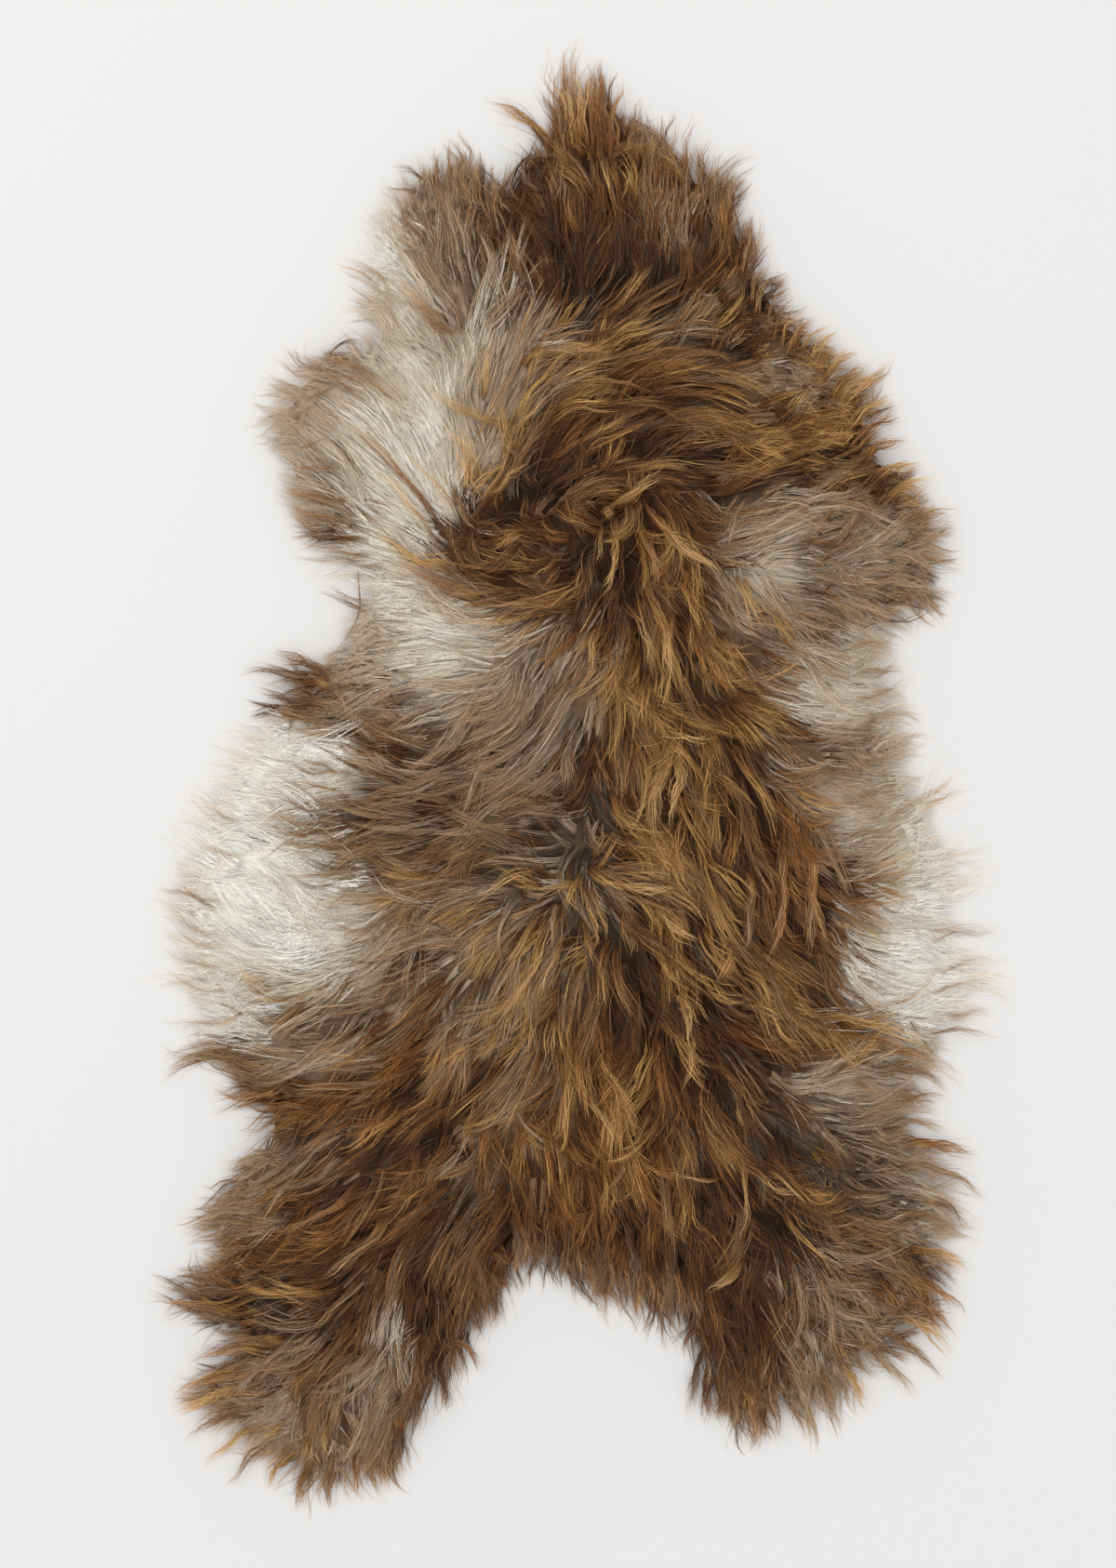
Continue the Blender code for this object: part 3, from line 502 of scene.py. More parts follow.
RIGHT_FLANK_TUFTS = table(
    Tuft,
    (900, 700, 968, 702, 8, 10, "taupe"), (910, 730, 976, 726, 8, 10, "taupe"),
    (910, 760, 982, 756, 10, 5, "brown"), (915, 790, 984, 772, 10, 4, "brown"),
    (910, 815, 976, 796, -8, 4, "taupe"), (890, 850, 984, 842, -16, 6, "taupe"),
    (925, 880, 968, 837, -8, 4, "taupe"), (947, 893, 1003, 865, 12, 4, "brown"),
    (910, 925, 1000, 902, -12, 5, "gold"), (900, 870, 990, 850, 10, 4, "brown"),
    (905, 895, 985, 868, -12, 4, "brown"), (895, 912, 975, 895, 10, 4, "taupe"),
    (905, 835, 985, 815, 8, 3, "brown"), (900, 945, 985, 925, -8, 4, "ginger"),
    (910, 940, 990, 930, -10, 5, "taupe"), (890, 960, 972, 966, -8, 9, "ginger"),
    (885, 985, 962, 990, -8, 8, "brown"), (980, 920, 1040, 898, -8, 10, "cream"),
    (985, 960, 1056, 948, -8, 10, "cream"), (975, 992, 1072, 992, -8, 4, "taupe"),
    (985, 1014, 1086, 1004, 7, 3, "brown"), (975, 1064, 1062, 1040, -8, 5, "taupe"),
    (985, 1040, 1074, 1024, -7, 4, "taupe"), (985, 1088, 1080, 1078, -8, 5, "taupe"),
    (980, 1112, 1092, 1118, 9, 4, "brown"), (985, 1100, 1084, 1094, 8, 4, "taupe"),
    (900, 1060, 950, 1110, 7, 5, "brown"), (850, 1090, 1010, 1128, 12, 10, "gold"),
    (870, 1105, 1000, 1140, 10, 9, "ginger"), (930, 1130, 1016, 1146, 8, 10, "ginger"),
    (940, 1150, 1020, 1164, 8, 10, "brown"), (930, 1120, 850, 1165, 8, 6, "umber"),
    (950, 1175, 1012, 1196, 6, 10, "brown"),
)
RIGHT_LEG_TUFTS = table(
    Tuft,
    (950, 1190, 1018, 1180, 6, 10, "brown"), (950, 1210, 1020, 1216, 7, 12, "taupe"),
    (960, 1230, 1058, 1246, 8, 12, "ginger"), (970, 1250, 1062, 1290, 10, 12, "taupe"),
    (980, 1290, 1042, 1326, 14, 9, "umber"), (960, 1300, 1036, 1336, 12, 9, "brown"),
    (970, 1340, 1046, 1368, 8, 14, "gold"), (960, 1370, 1040, 1416, 9, 14, "ginger"),
    (960, 1390, 1032, 1442, 9, 14, "ginger"), (940, 1400, 1024, 1458, 9, 12, "gold"),
    (930, 1420, 1014, 1486, 8, 10, "brown"), (920, 1440, 984, 1506, 8, 12, "taupe"),
    (890, 1450, 930, 1520, 7, 14, "gold"), (870, 1460, 900, 1526, 6, 14, "brown"),
    (850, 1470, 870, 1544, 6, 14, "taupe"), (820, 1480, 834, 1548, 5, 14, "brown"),
    (800, 1480, 814, 1556, 4, 14, "ginger"), (785, 1480, 786, 1550, 4, 14, "brown"),
    (765, 1470, 758, 1534, -4, 14, "umber"), (760, 1440, 745, 1530, -5, 10, "umber"),
    (755, 1420, 732, 1460, -5, 9, "umber"), (800, 1240, 860, 1280, -9, 7, "gold"),
    (810, 1250, 862, 1290, 8, 6, "gold"), (790, 1230, 790, 1330, 10, 8, "gold"),
)
TUFTS = (
    NECK_TUFTS
    + RIGHT_SHOULDER_TUFTS
    + LEFT_SHOULDER_TUFTS
    + BACK_TUFTS
    + LEFT_FLANK_TUFTS
    + LEFT_LEG_TUFTS
    + RUMP_TUFTS
    + RUMP_FRINGE
    + RIGHT_FLANK_TUFTS
    + RIGHT_LEG_TUFTS
)
TUFT_WIDTH_PX = 6  # of a tuft's width, for each strand of it

# How a layer of the coat grows: locks of threads, each a wisp with finer hairs beside it. Sizes are in mm.
# spread is half a lock's width, splay is how far its threads part towards their tips, and stray how far
# single hairs leave their wisp. level is where it lies, as a share of the wool's height, and lift and rise
# are how far its locks stand off that. gather is how far a lock's threads, and then a thread's hairs, draw
# together towards their tips. swerve and curl are the degrees by which a lock leaves the comb and bends.
# blend is how smoothly its shades change over the coat. short is how far short of the wool's reach it stops,
# from least to most, and trimmed is whether that reach is the trimmed one. taper is larger for a blunter
# tip. pale_roots is how far down the colours of the hairs' bodies go, thinning is how much finer the hairs
# are where the coat is pale, and fading at the rim. fills are the locks added in turn where it is bare.
Layer = namedtuple(
    "Layer",
    "seed locks threads hairs segments length_mm spread_mm splay_mm thread_mm wisp_mm hair_mm level rise_mm "
    "gather_lock gather_thread wave_mm waves fuzz_mm stray_mm swerve curl blend short_mm trimmed lift taper "
    "pale_roots thinning fading fills",
    defaults=((-2, 18), True, 0, 1.6, 0, 0.4, 0, ()),
)
UNDERCOAT = Layer(
    seed=3, locks=2250, threads=6, hairs=4, segments=3, fills=(150, 100, 80),
    length_mm=62, spread_mm=9, splay_mm=2.5, thread_mm=2.6, wisp_mm=2.8, hair_mm=0.8,
    level=0.93, rise_mm=0.8, gather_lock=0.1, gather_thread=0.2,
    wave_mm=0.6, waves=0.8, fuzz_mm=0.7, stray_mm=4, swerve=7, curl=9,
    blend=0.85, short_mm=(6, 40), thinning=0.2, fading=0.4,
)
OUTER_COAT = Layer(
    seed=7, locks=1290, threads=7, hairs=6, segments=5, fills=(150, 110, 90),
    length_mm=84, spread_mm=9, splay_mm=3.5, thread_mm=2.0, wisp_mm=1.5, hair_mm=0.6,
    level=0.96, rise_mm=8, gather_lock=0.75, gather_thread=0.5,
    wave_mm=1.5, waves=1.3, fuzz_mm=1.5, stray_mm=8, swerve=20, curl=36,
    blend=0.7, short_mm=(2, 40), fading=0.35,
)
GOLDEN_LOCKS = Layer(
    seed=22, locks=720, threads=5, hairs=5, segments=7,
    length_mm=70, spread_mm=6, splay_mm=4, thread_mm=1.8, wisp_mm=1.1, hair_mm=0.5,
    level=1.0, rise_mm=8, gather_lock=0.7, gather_thread=0.6,
    wave_mm=2.0, waves=1.8, fuzz_mm=1.4, stray_mm=6, swerve=24, curl=45,
    blend=0.3, short_mm=(-6, 18),
)
RIM_WISPS = Layer(
    seed=31, locks=440, threads=5, hairs=4, segments=6,
    length_mm=100, spread_mm=9, splay_mm=7, thread_mm=2.6, wisp_mm=1.0, hair_mm=0.5,
    level=0.95, rise_mm=3, gather_lock=0.8, gather_thread=0.65,
    wave_mm=2.8, waves=1.6, fuzz_mm=2.2, stray_mm=7, swerve=18, curl=50,
    blend=0.7, short_mm=(-24, 14), trimmed=False, taper=2.6,
)
TUFT_STRANDS = Layer(
    seed=41, locks=0, threads=3, hairs=5, segments=7,
    length_mm=0, spread_mm=0, splay_mm=1.5, thread_mm=1.6, wisp_mm=1.0, hair_mm=0.5,
    level=1.0, rise_mm=7, gather_lock=0.85, gather_thread=0.6,
    wave_mm=2.2, waves=1.9, fuzz_mm=1.3, stray_mm=4, swerve=0, curl=0,
    blend=0.3, lift=0.8, taper=2.6, pale_roots=0.25,
)

# Where locks grow, and how they lie
SLAB_EDGE = 0.5  # of the hide's map, at its outline
NEAR_RIM = 0.93  # of the inner map, under which a root is near the rim
ROW_GAP = math.sqrt(0.75)  # between staggered rows of roots, as a share of the gap along them
JITTER = 0.4  # of that gap, by which chance moves a root, and one more where the coat parts
PARTED_JITTER = 0.5
PARTED = 0.7  # how sure the comb is where the coat parts, under which locks lie in disorder
PARTED_SHARE = 0.5  # of the locks there, and how long they are for the others
PARTED_LENGTH = 0.6
LOCK_STEPS = 24  # along a lock's path
BURIED_STEPS = 6  # of them, under the wool at its root
LENGTHS = (0.7, 1.25)  # of a lock, for its layer's
MAP_SWAY = 3  # how far the maps turn a lock for its layer's swerve and curl, and how far chance does
CHANCE_SWAY = 0.4
CURL_START = 0.3  # how far along a lock its curl turns the other way
OUTSIDE = 0.3  # of the reach, under which a lock is past the wool's edge
LEAST_SHARE = 0.25  # of a lock that is left at the rim
BARE = 0.6  # a layer's cover, as a share of its middle value, under which a place is bare
COVER_BLUR = 5 * MM
THICK = 0.4  # a layer's density, as a share of its most, from which its bare places are filled
FILL_BACK = 4 * MM  # from a bare place back to the root of the lock that covers it
DEEP_ROOT = 0.4  # the height of a lock's root, as a share of the wool's, and where it starts on top
SHALLOW_ROOT = 0.93

# How a lock's hairs differ from each other
THREAD_ENDS = (0.75, 1.05)  # where a thread ends, for its lock, and a hair and a wisp, for their thread
HAIR_ENDS = (0.8, 1.06)
WISP_END = 0.95
LEAST_END = 0.05
HAIR_SCATTER = 0.6  # of a thread's width, for its hairs
SPLAY_POWER = 1.6  # larger for threads and stray hairs that leave their lock nearer its tip
STRAY_POWER = 1.3
STRAY_SHARE = 0.22  # of a layer's finer hairs, that leave their wisp
FULL_SPREAD = 4 * MM  # of a lock whose hairs have their full width
FULL_LENGTH = 60 * MM  # of a lock that waves as much as its layer's do, and how much the shortest does
LEAST_WAVE = 0.3
WAVE_CHANCE = 0.6  # radians between the waves of a lock's threads
WAVE_COUNTS = (0.7, 1.3)  # of a lock's waves, and of a thread's swing, for its layer's
WAVE_SIZES = (0.4, 1.5)
FUZZ_WAVES = (0.5, 1.4)  # along a finer hair
TONE_CHANCE = 0.15  # in a lock's tone, against the lump it is in
THREAD_LIFT = 0.25  # of a layer's rise, by chance, and for the threads in the middle of a lock
MIDDLE_LIFT = 0.5
WHITE_CALM = 0.6  # how much flatter hairs lie in the white flanks
ROOT_LIFT = 0.2  # of a hair's lift at its root
RISE_END = 0.35  # how far along a hair it has risen from its root
FLOOR_GAP = (0.4 * MM, 1.5 * MM)  # under a hair that lies on the floor, at least and by chance
HAIR_WIDTHS = (0.7, 1.3)  # of a hair, for its layer's
LEAST_WIDTH = 0.5  # of the hairs in the thinnest lock
FULL_INNER = 0.9  # of the inner map, from which hairs have their full width
WISP_ROLL = 15  # degrees, at most, by which a wisp is rolled over, and a finer hair
HAIR_ROLL = 50
OWN_THREADS = 0.2  # of the threads and of the hairs, whose shade isn't their lock's
OWN_HAIRS = 0.12
THREAD_OFF = 0.16  # of a shade's place on the colour map, by chance for a thread and for a hair
HAIR_OFF = 0.25
PALE_EVEN = 0.65  # how much more even the shades are where the coat is pale
PALE_ROOTS = 0.4  # how far up a hair its colour starts where the coat is pale, and by chance
ROOT_CHANCE = 0.3
TIP_REACH = (0.6, 1)  # how far up its colours a hair ends
ROOT_WIDTH = 0.1  # of a ribbon's width at its root, and how fast it widens
ROOT_SPREAD = 3
TINT_END = 0.5  # how far along a hair the shade of its root has changed to its own

# How much of each layer there is, and its shades
PALE_FULL = 3  # the patches' weight where the pale undercoat shows fully, and where the flanks are white
WHITE_FULL = 10
PALE_HIDES = 0.96  # of the plain shades, in such a place
UNDER_LEAST = 0.3  # of the undercoat, under the thick of the outer coat
PALE_THINS = 0.85  # of the outer coat, where the pale undercoat shows and in the white flanks
WHITE_THINS = 0.4
GOLDEN_LEAST = 0.3  # of the golden locks, in the darkest lumps, and how many more in the lightest
GOLDEN_BY_TONE = 1.4
GOLDEN_BROWN = 0.2  # of them, that are brown, and up to which they are ginger, here and among ginger ones
GOLDEN_GINGER = 0.35
GINGER_MORE = 0.5


def unit(headings):
    """Unit vectors along headings in degrees."""
    angles = np.radians(headings)
    return np.stack([np.cos(angles), np.sin(angles)], axis=-1)


def columns(rows, *names):
    """The named columns of a table, as an array with a row for each."""
    return np.array([[getattr(row, name) for name in names] for row in rows], float)


def placed(pixels):
    """Points of the model under pixels of the photograph."""
    offsets = (np.asarray(pixels, float) - ORIGIN_PX) * PIXEL
    return offsets * (1, -1)


def turned(directions, angles):
    """Directions turned anticlockwise by angles in radians."""
    x, y = np.moveaxis(directions, -1, 0)
    cos, sin = np.cos(angles), np.sin(angles)
    return np.stack([x * cos - y * sin, x * sin + y * cos], axis=-1)


def leftwards(directions):
    """Directions turned a quarter anticlockwise."""
    return np.stack([-directions[..., 1], directions[..., 0]], axis=-1)


def smooth(values):
    """An even ease from 0 to 1."""
    values = np.clip(values, 0, 1)
    return values * values * (3 - 2 * values)


def patch_weight(patch, points):
    """How strongly a patch holds at points: its weight in its middle, fading past its edge."""
    offsets = points - placed((patch.x_px, patch.y_px))
    along = unit(patch.heading)
    u = offsets @ along / (patch.length_px * PIXEL)
    v = offsets @ np.array([-along[1], along[0]]) / (patch.width_px * PIXEL)
    return patch.weight * np.exp(-((u**2 + v**2) ** PATCH_EDGE))


def total_weight(rows, points, *shades):
    """How strongly patches hold at points together, or those of some shades alone."""
    return sum(patch_weight(patch, points) for patch in rows if not shades or patch.shade in shades)


def paleness(points):
    """From 0 to 1, how far the pale undercoat shows through."""
    return np.clip(total_weight(LIGHT_PATCHES, points, "cream", "grey") / PALE_FULL, 0, 1)


def whiteness(points):
    """From 0 to 1, how white the flanks' wool is."""
    return np.clip(total_weight(WHITE_PATCHES, points) / WHITE_FULL, 0, 1)


class Ground:
    """Maps over the model, on a grid: the wool's height, how far it reaches, and its comb."""

    def __init__(self):
        low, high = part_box("pelt")
        self.low = np.array(low.xy) - GRID_MARGIN
        span = np.array(high.xy) + GRID_MARGIN - self.low
        self.shape = tuple(int(size / GRID) + 1 for size in span)
        self.height = self.cast_heights()
        self.soft_height = self.blurred(self.height, WOOL_BLUR)
        self.slab = self.blurred(self.height > RIM_CUT, SLAB_BLUR)
        self.inner = self.blurred(self.height > RIM_CUT, INNER_BLUR)
        self.trims = total_weight(TRIMS, self.nodes()) * MM
        self.reach = self.blurred(self.height > 0, REACH_BLUR)
        self.trimmed_reach = self.blurred(self.height > TRIM_CUT * np.maximum(self.trims, 0), REACH_BLUR)
        self.comb, self.sureness = self.comb_map()
        dice = np.random.default_rng(CLOUD_SEED)
        self.tone, self.sway, self.bend, self.phase = (self.clouds(dice, size) for size in CLOUDS)

    def nodes(self):
        """The grid's points, as an array."""
        i, j = np.meshgrid(*(np.arange(count) for count in self.shape), indexing="ij")
        return self.low + np.stack([i, j], axis=-1) * GRID

    def cast_heights(self):
        """The solid's height under each of the grid's points, and 0 beside it."""
        solid = bmesh.new()
        solid.from_mesh(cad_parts["pelt"].data)
        tree = bvhtree.BVHTree.FromBMesh(solid)
        solid.free()
        heights = np.zeros(self.shape)
        for i, row in enumerate(self.nodes()):
            for j, point in enumerate(row):
                hit = tree.ray_cast(Vector((*point, 1)), DOWN)[0]
                heights[i, j] = hit.z if hit else 0
        return heights

    def blurred(self, field, radius):
        """A map with its values spread over a radius."""
        field = np.asarray(field, float)
        reach = int(2.5 * radius / GRID)
        kernel = np.exp(-0.5 * (np.arange(-reach, reach + 1) * GRID / radius) ** 2)
        kernel /= kernel.sum()
        for axis in (0, 1):
            field = np.apply_along_axis(np.convolve, axis, field, kernel, mode="same")
        return field

    def clouds(self, dice, radius):
        """A map of soft lumps by chance, its values spread evenly from 0 to 1."""
        field = self.blurred(dice.normal(size=self.shape), radius)
        return field.ravel().argsort().argsort().reshape(self.shape) / field.size

    def comb_map(self):
        """Which way the wool is combed, blended between the comb marks, and how far they agree."""
        marks = placed(columns(COMBS, "x_px", "y_px"))
        aims = unit(columns(COMBS, "heading")[:, 0])
        points = self.nodes().reshape(-1, 2)
        pull = 1 / (np.linalg.norm(points[:, None] - marks, axis=2) + COMB_BLUR) ** COMB_FALL
        blended = pull @ aims
        size = np.linalg.norm(blended, axis=1)
        sureness = size / pull.sum(axis=1)
        return (blended / size[:, None]).reshape(*self.shape, 2), sureness.reshape(self.shape)

    def at(self, field, points):
        """A map's values at points, blended between the grid's own."""
        places = (points - self.low) / GRID
        places = np.clip(places, 0, np.array(self.shape) - 1.001)
        i, j = np.moveaxis(places.astype(int), -1, 0)
        s, t = np.moveaxis(places - np.stack([i, j], axis=-1), -1, 0)
        if field.ndim == 3:
            s, t = s[..., None], t[..., None]
        near = field[i, j] * (1 - s) + field[i + 1, j] * s
        far = field[i, j + 1] * (1 - s) + field[i + 1, j + 1] * s
        return near * (1 - t) + far * t


@functools.cache
def ground_maps():
    """The maps over the model, made once."""
    return Ground()


def scattered(ground, count, dice, near_rim=False):
    """Roots over the hide, in staggered rows moved by chance, and more where the coat parts."""
    grounds = ground.slab > SLAB_EDGE
    if near_rim:
        grounds &= ground.inner < NEAR_RIM
    pitch = math.sqrt(grounds.sum() * GRID**2 / count / ROW_GAP)
    span = np.array(ground.shape) * GRID
    rows = np.arange(0, span[1], pitch * ROW_GAP)
    places = [(x + (i % 2) * pitch / 2, y) for i, y in enumerate(rows) for x in np.arange(0, span[0], pitch)]
    points = ground.low + np.array(places) + dice.uniform(-JITTER, JITTER, (len(places), 2)) * pitch
    points = points[ground.at(ground.slab, points) > SLAB_EDGE]
    if near_rim:
        points = points[ground.at(ground.inner, points) < NEAR_RIM]
    parted = points[ground.at(ground.sureness, points) < PARTED]
    more = parted + dice.uniform(-PARTED_JITTER, PARTED_JITTER, parted.shape) * pitch
    points = np.concatenate([points, more])
    return points[dice.permutation(len(points))]


def turns_of(ground, field, roots, degrees, dice):
    """Turns of locks in radians, mostly by a map and partly by chance."""
    by_map = MAP_SWAY * (ground.at(field, roots) - 0.5)
    return np.radians(degrees) * (by_map + dice.normal(0, CHANCE_SWAY, len(roots)))


def grow_paths(ground, roots, layer, dice):
    """The path that each lock follows along the comb, and the share of it that the wool's reach allows."""
    count = len(roots)
    length = layer.length_mm * MM * dice.uniform(*LENGTHS, count)
    swerve = turns_of(ground, ground.sway, roots, layer.swerve, dice)
    curl = turns_of(ground, ground.bend, roots, layer.curl, dice)
    parted = (ground.at(ground.sureness, roots) < PARTED) & (dice.random(count) < PARTED_SHARE)
    swerve = np.where(parted, swerve + dice.uniform(-1, 1, count), swerve)
    length = np.where(parted, length * PARTED_LENGTH, length)
    path = [roots]
    for k in range(LOCK_STEPS):
        aim = turned(ground.at(ground.comb, path[-1]), swerve + curl * (k / LOCK_STEPS - CURL_START))
        path.append(path[-1] + aim * (length / LOCK_STEPS)[:, None])
    path = np.stack(path, axis=1)
    out = ground.at(ground.trimmed_reach if layer.trimmed else ground.reach, path) < OUTSIDE
    exit_step = np.where(out.any(axis=1), out.argmax(axis=1), LOCK_STEPS)
    short = dice.uniform(*layer.short_mm, count) * MM
    short += ground.at(ground.trims, path[np.arange(count), exit_step])
    share = np.where(exit_step < LOCK_STEPS, exit_step / LOCK_STEPS - short / length, 1)
    return path, np.clip(share, LEAST_SHARE, 1)


def bare_roots(ground, path, share, density, count, dice):
    """Roots for more locks where the paths leave bare what they should cover thickly."""
    cover = np.zeros(ground.shape)
    steps = np.arange(LOCK_STEPS + 1)
    seen = (steps > BURIED_STEPS) & (steps < share[:, None] * LOCK_STEPS)
    spots = ((path[seen] - ground.low) / GRID).round().astype(int)
    spots = spots[((spots >= 0) & (spots < ground.shape)).all(axis=1)]
    np.add.at(cover, tuple(spots.T), 1)
    hide = ground.slab > SLAB_EDGE
    points, cover = ground.nodes()[hide], ground.blurred(cover, COVER_BLUR)[hide]
    wanted = density(points)
    lack = np.clip(1 - cover / (BARE * np.median(cover)), 0, 1) ** 2 * (wanted > THICK * wanted.max())
    lack *= ground.inner[hide] ** 2
    points = points[dice.choice(len(points), count, replace=False, p=lack / lack.sum())]
    return points - FILL_BACK * ground.at(ground.comb, points)


def along_path(path, places):
    """Points at shares of the way along each path, and its directions there."""
    steps = np.clip(places, 0, 0.9999) * LOCK_STEPS
    k = steps.astype(int)
    s = (steps - k)[..., None]
    row = np.arange(len(path))[:, None]
    start, end = path[row, k], path[row, k + 1]
    step = end - start
    return start + step * s, step / np.linalg.norm(step, axis=-1, keepdims=True)


class Hairs:
    """The hairs along a layer's locks: where they lie, their widths and rolls, and their colours."""

    def __init__(self, layer, locks, shades, dice):
        self.ground, self.layer, self.dice = ground_maps(), layer, dice
        self.path, self.share, self.spread, self.rooting = locks
        self.threads = len(self.path) * layer.threads
        self.lock = np.repeat(np.arange(len(self.path)), layer.threads * layer.hairs)
        self.thread = np.repeat(np.arange(self.threads), layer.hairs)
        self.count = len(self.lock)
        self.wisp = np.arange(self.count) % layer.hairs == 0
        self.t = np.linspace(0, 1, layer.segments + 1)
        self.lay()
        self.raise_up()
        self.size()
        self.colour(shades)

    def by_thread(self, draw, *span):
        """A draw for each thread, as one for each of its hairs."""
        return draw(*span, self.threads)[self.thread]

    def lay(self):
        """Lays the hairs side by side along their locks' paths, drawn together, waving and straying."""
        layer, dice, t = self.layer, self.dice, self.t
        ends = self.share[self.lock] * self.by_thread(dice.uniform, *THREAD_ENDS)
        ends = ends * np.where(self.wisp, WISP_END, dice.uniform(*HAIR_ENDS, self.count))
        self.middle, aim = along_path(self.path[self.lock], t * np.clip(ends, LEAST_END, 1)[:, None])
        self.place = self.by_thread(dice.uniform, -1, 1)
        lock_side = self.place * self.spread[self.lock]
        thread_side = np.where(self.wisp, 0, dice.normal(0, HAIR_SCATTER, self.count)) * layer.thread_mm * MM
        side = lock_side[:, None] * (1 - layer.gather_lock * t)
        side = side + thread_side[:, None] * (1 - layer.gather_thread * t)
        side += (self.by_thread(dice.normal, 0, 1) * layer.splay_mm * MM)[:, None] * t**SPLAY_POWER
        phase = 4 * math.pi * self.ground.at(self.ground.phase, self.path[:, 0])[self.lock]
        phase = phase + self.by_thread(dice.normal, 0, WAVE_CHANCE)
        length = self.share * np.linalg.norm(self.path[:, -1] - self.path[:, 0], axis=1)
        shortness = np.clip(length / FULL_LENGTH, LEAST_WAVE, 1)[self.lock]
        turns = layer.waves * dice.uniform(*WAVE_COUNTS, len(self.path))[self.lock] * shortness
        swing = layer.wave_mm * MM * self.by_thread(dice.uniform, *WAVE_SIZES) * shortness
        side += swing[:, None] * np.sin(phase[:, None] + 2 * math.pi * turns[:, None] * t) * np.sqrt(t)
        self.fuzz = np.where(self.wisp, 0, dice.normal(0, layer.fuzz_mm * MM, self.count))
        waves, start = dice.uniform(*FUZZ_WAVES, self.count), dice.random(self.count)
        side += self.fuzz[:, None] * np.sin(2 * math.pi * (waves[:, None] * t + start[:, None])) * t
        stray = ~self.wisp & (dice.random(self.count) < STRAY_SHARE)
        side += (stray * dice.normal(0, layer.stray_mm * MM, self.count))[:, None] * t**STRAY_POWER
        self.flat = self.middle + leftwards(aim) * side[..., None]

    def raise_up(self):
        """Raises the hairs from their roots in the wool onto it, higher in the lighter locks."""
        ground, layer, dice, t = self.ground, self.layer, self.dice, self.t
        wool = ground.at(ground.soft_height, self.flat)
        rooted = ground.at(ground.soft_height, self.flat[:, :1]) * self.rooting[self.lock, None]
        tone = ground.at(ground.tone, self.path[:, LOCK_STEPS // 2])
        tone = np.abs(tone + dice.normal(0, TONE_CHANCE, len(self.path)))[self.lock]
        self.tone = 1 - np.abs(1 - tone)
        spots = self.middle[:, layer.segments // 2]
        self.white = whiteness(spots)
        self.pale = np.maximum(paleness(spots), self.white)
        lift = layer.lift + (self.tone - 0.5) + self.by_thread(dice.uniform, -THREAD_LIFT, THREAD_LIFT)
        lift += MIDDLE_LIFT * (1 - self.place**2)
        lift *= 1 - WHITE_CALM * self.white
        level = layer.level * wool
        level = level + lift[:, None] * layer.rise_mm * MM * (ROOT_LIFT + (1 - ROOT_LIFT) * t)
        level += np.abs(self.fuzz)[:, None] * t
        height = rooted + (level - rooted) * smooth(t / RISE_END)
        lowest = FLOOR_GAP[0] + FLOOR_GAP[1] * dice.random(self.count)[:, None]
        self.points = np.concatenate([self.flat, np.maximum(height, lowest)[..., None]], axis=-1)

    def size(self):
        """Gives each hair its width, and the degrees by which it is rolled over."""
        ground, layer, dice = self.ground, self.layer, self.dice
        widths = np.where(self.wisp, layer.wisp_mm, layer.hair_mm) * MM
        widths *= dice.uniform(*HAIR_WIDTHS, self.count)
        widths *= 1 - layer.thinning * self.pale
        widths *= np.clip(self.spread[self.lock] / FULL_SPREAD, LEAST_WIDTH, 1)
        inner = ground.at(ground.inner, self.flat[:, -1])
        self.widths = widths * (1 - layer.fading * (1 - smooth(inner / FULL_INNER)))
        rolls = np.radians(np.where(self.wisp, WISP_ROLL, HAIR_ROLL) * dice.uniform(-1, 1, self.count))
        self.rolls = rolls * (1 - WHITE_CALM * self.white)

    def draws(self):
        """A number from 0 to 1 for each hair, mostly its lock's tone, and else by chance for its thread."""
        dice = self.dice
        own_thread = (dice.random(self.threads) < OWN_THREADS)[self.thread]
        draws = np.where(own_thread, self.by_thread(dice.random), self.tone)
        return np.where(dice.random(self.count) < OWN_HAIRS, dice.random(self.count), draws)

    def colour(self, shades):
        """Gives each hair its places on the colour map, across it at the root and above, and along it."""
        dice, layer = self.dice, self.layer
        draws = self.draws()
        off = self.by_thread(dice.normal, 0, THREAD_OFF) + dice.normal(0, HAIR_OFF, self.count)
        off *= 1 - PALE_EVEN * self.pale
        ring = self.by_thread(dice.integers, 1, layer.segments)
        places = self.middle[:, 0], self.middle[np.arange(self.count), ring]
        self.tints = [on_map(rule(spots, self.lock, draws) + off) for rule, spots in zip(shades, places)]
        self.spans = np.where(self.wisp, WISP_TINT, HAIR_TINT)
        starts = np.maximum(layer.pale_roots, PALE_ROOTS * self.pale)
        self.starts = starts + ROOT_CHANCE * dice.random(self.count) ** 2
        self.ends = dice.uniform(*TIP_REACH, self.count)


def on_map(shade):
    """Places across the colour map for shades by number."""
    return np.clip(shade, 0.05, len(NAMES) - 1.05) / (len(NAMES) - 1)


def shade_shares(points, plain, patches):
    """For each point, the chance of each shade there."""
    shares = np.zeros((len(points), len(NAMES)))
    rest = 1 - PALE_HIDES * np.maximum(paleness(points), whiteness(points))
    for name, share in plain.items():
        shares[:, NAMES.index(name)] = share * rest
    for patch in patches:
        shares[:, NAMES.index(patch.shade)] += patch_weight(patch, points)
    return shares / shares.sum(axis=1, keepdims=True)


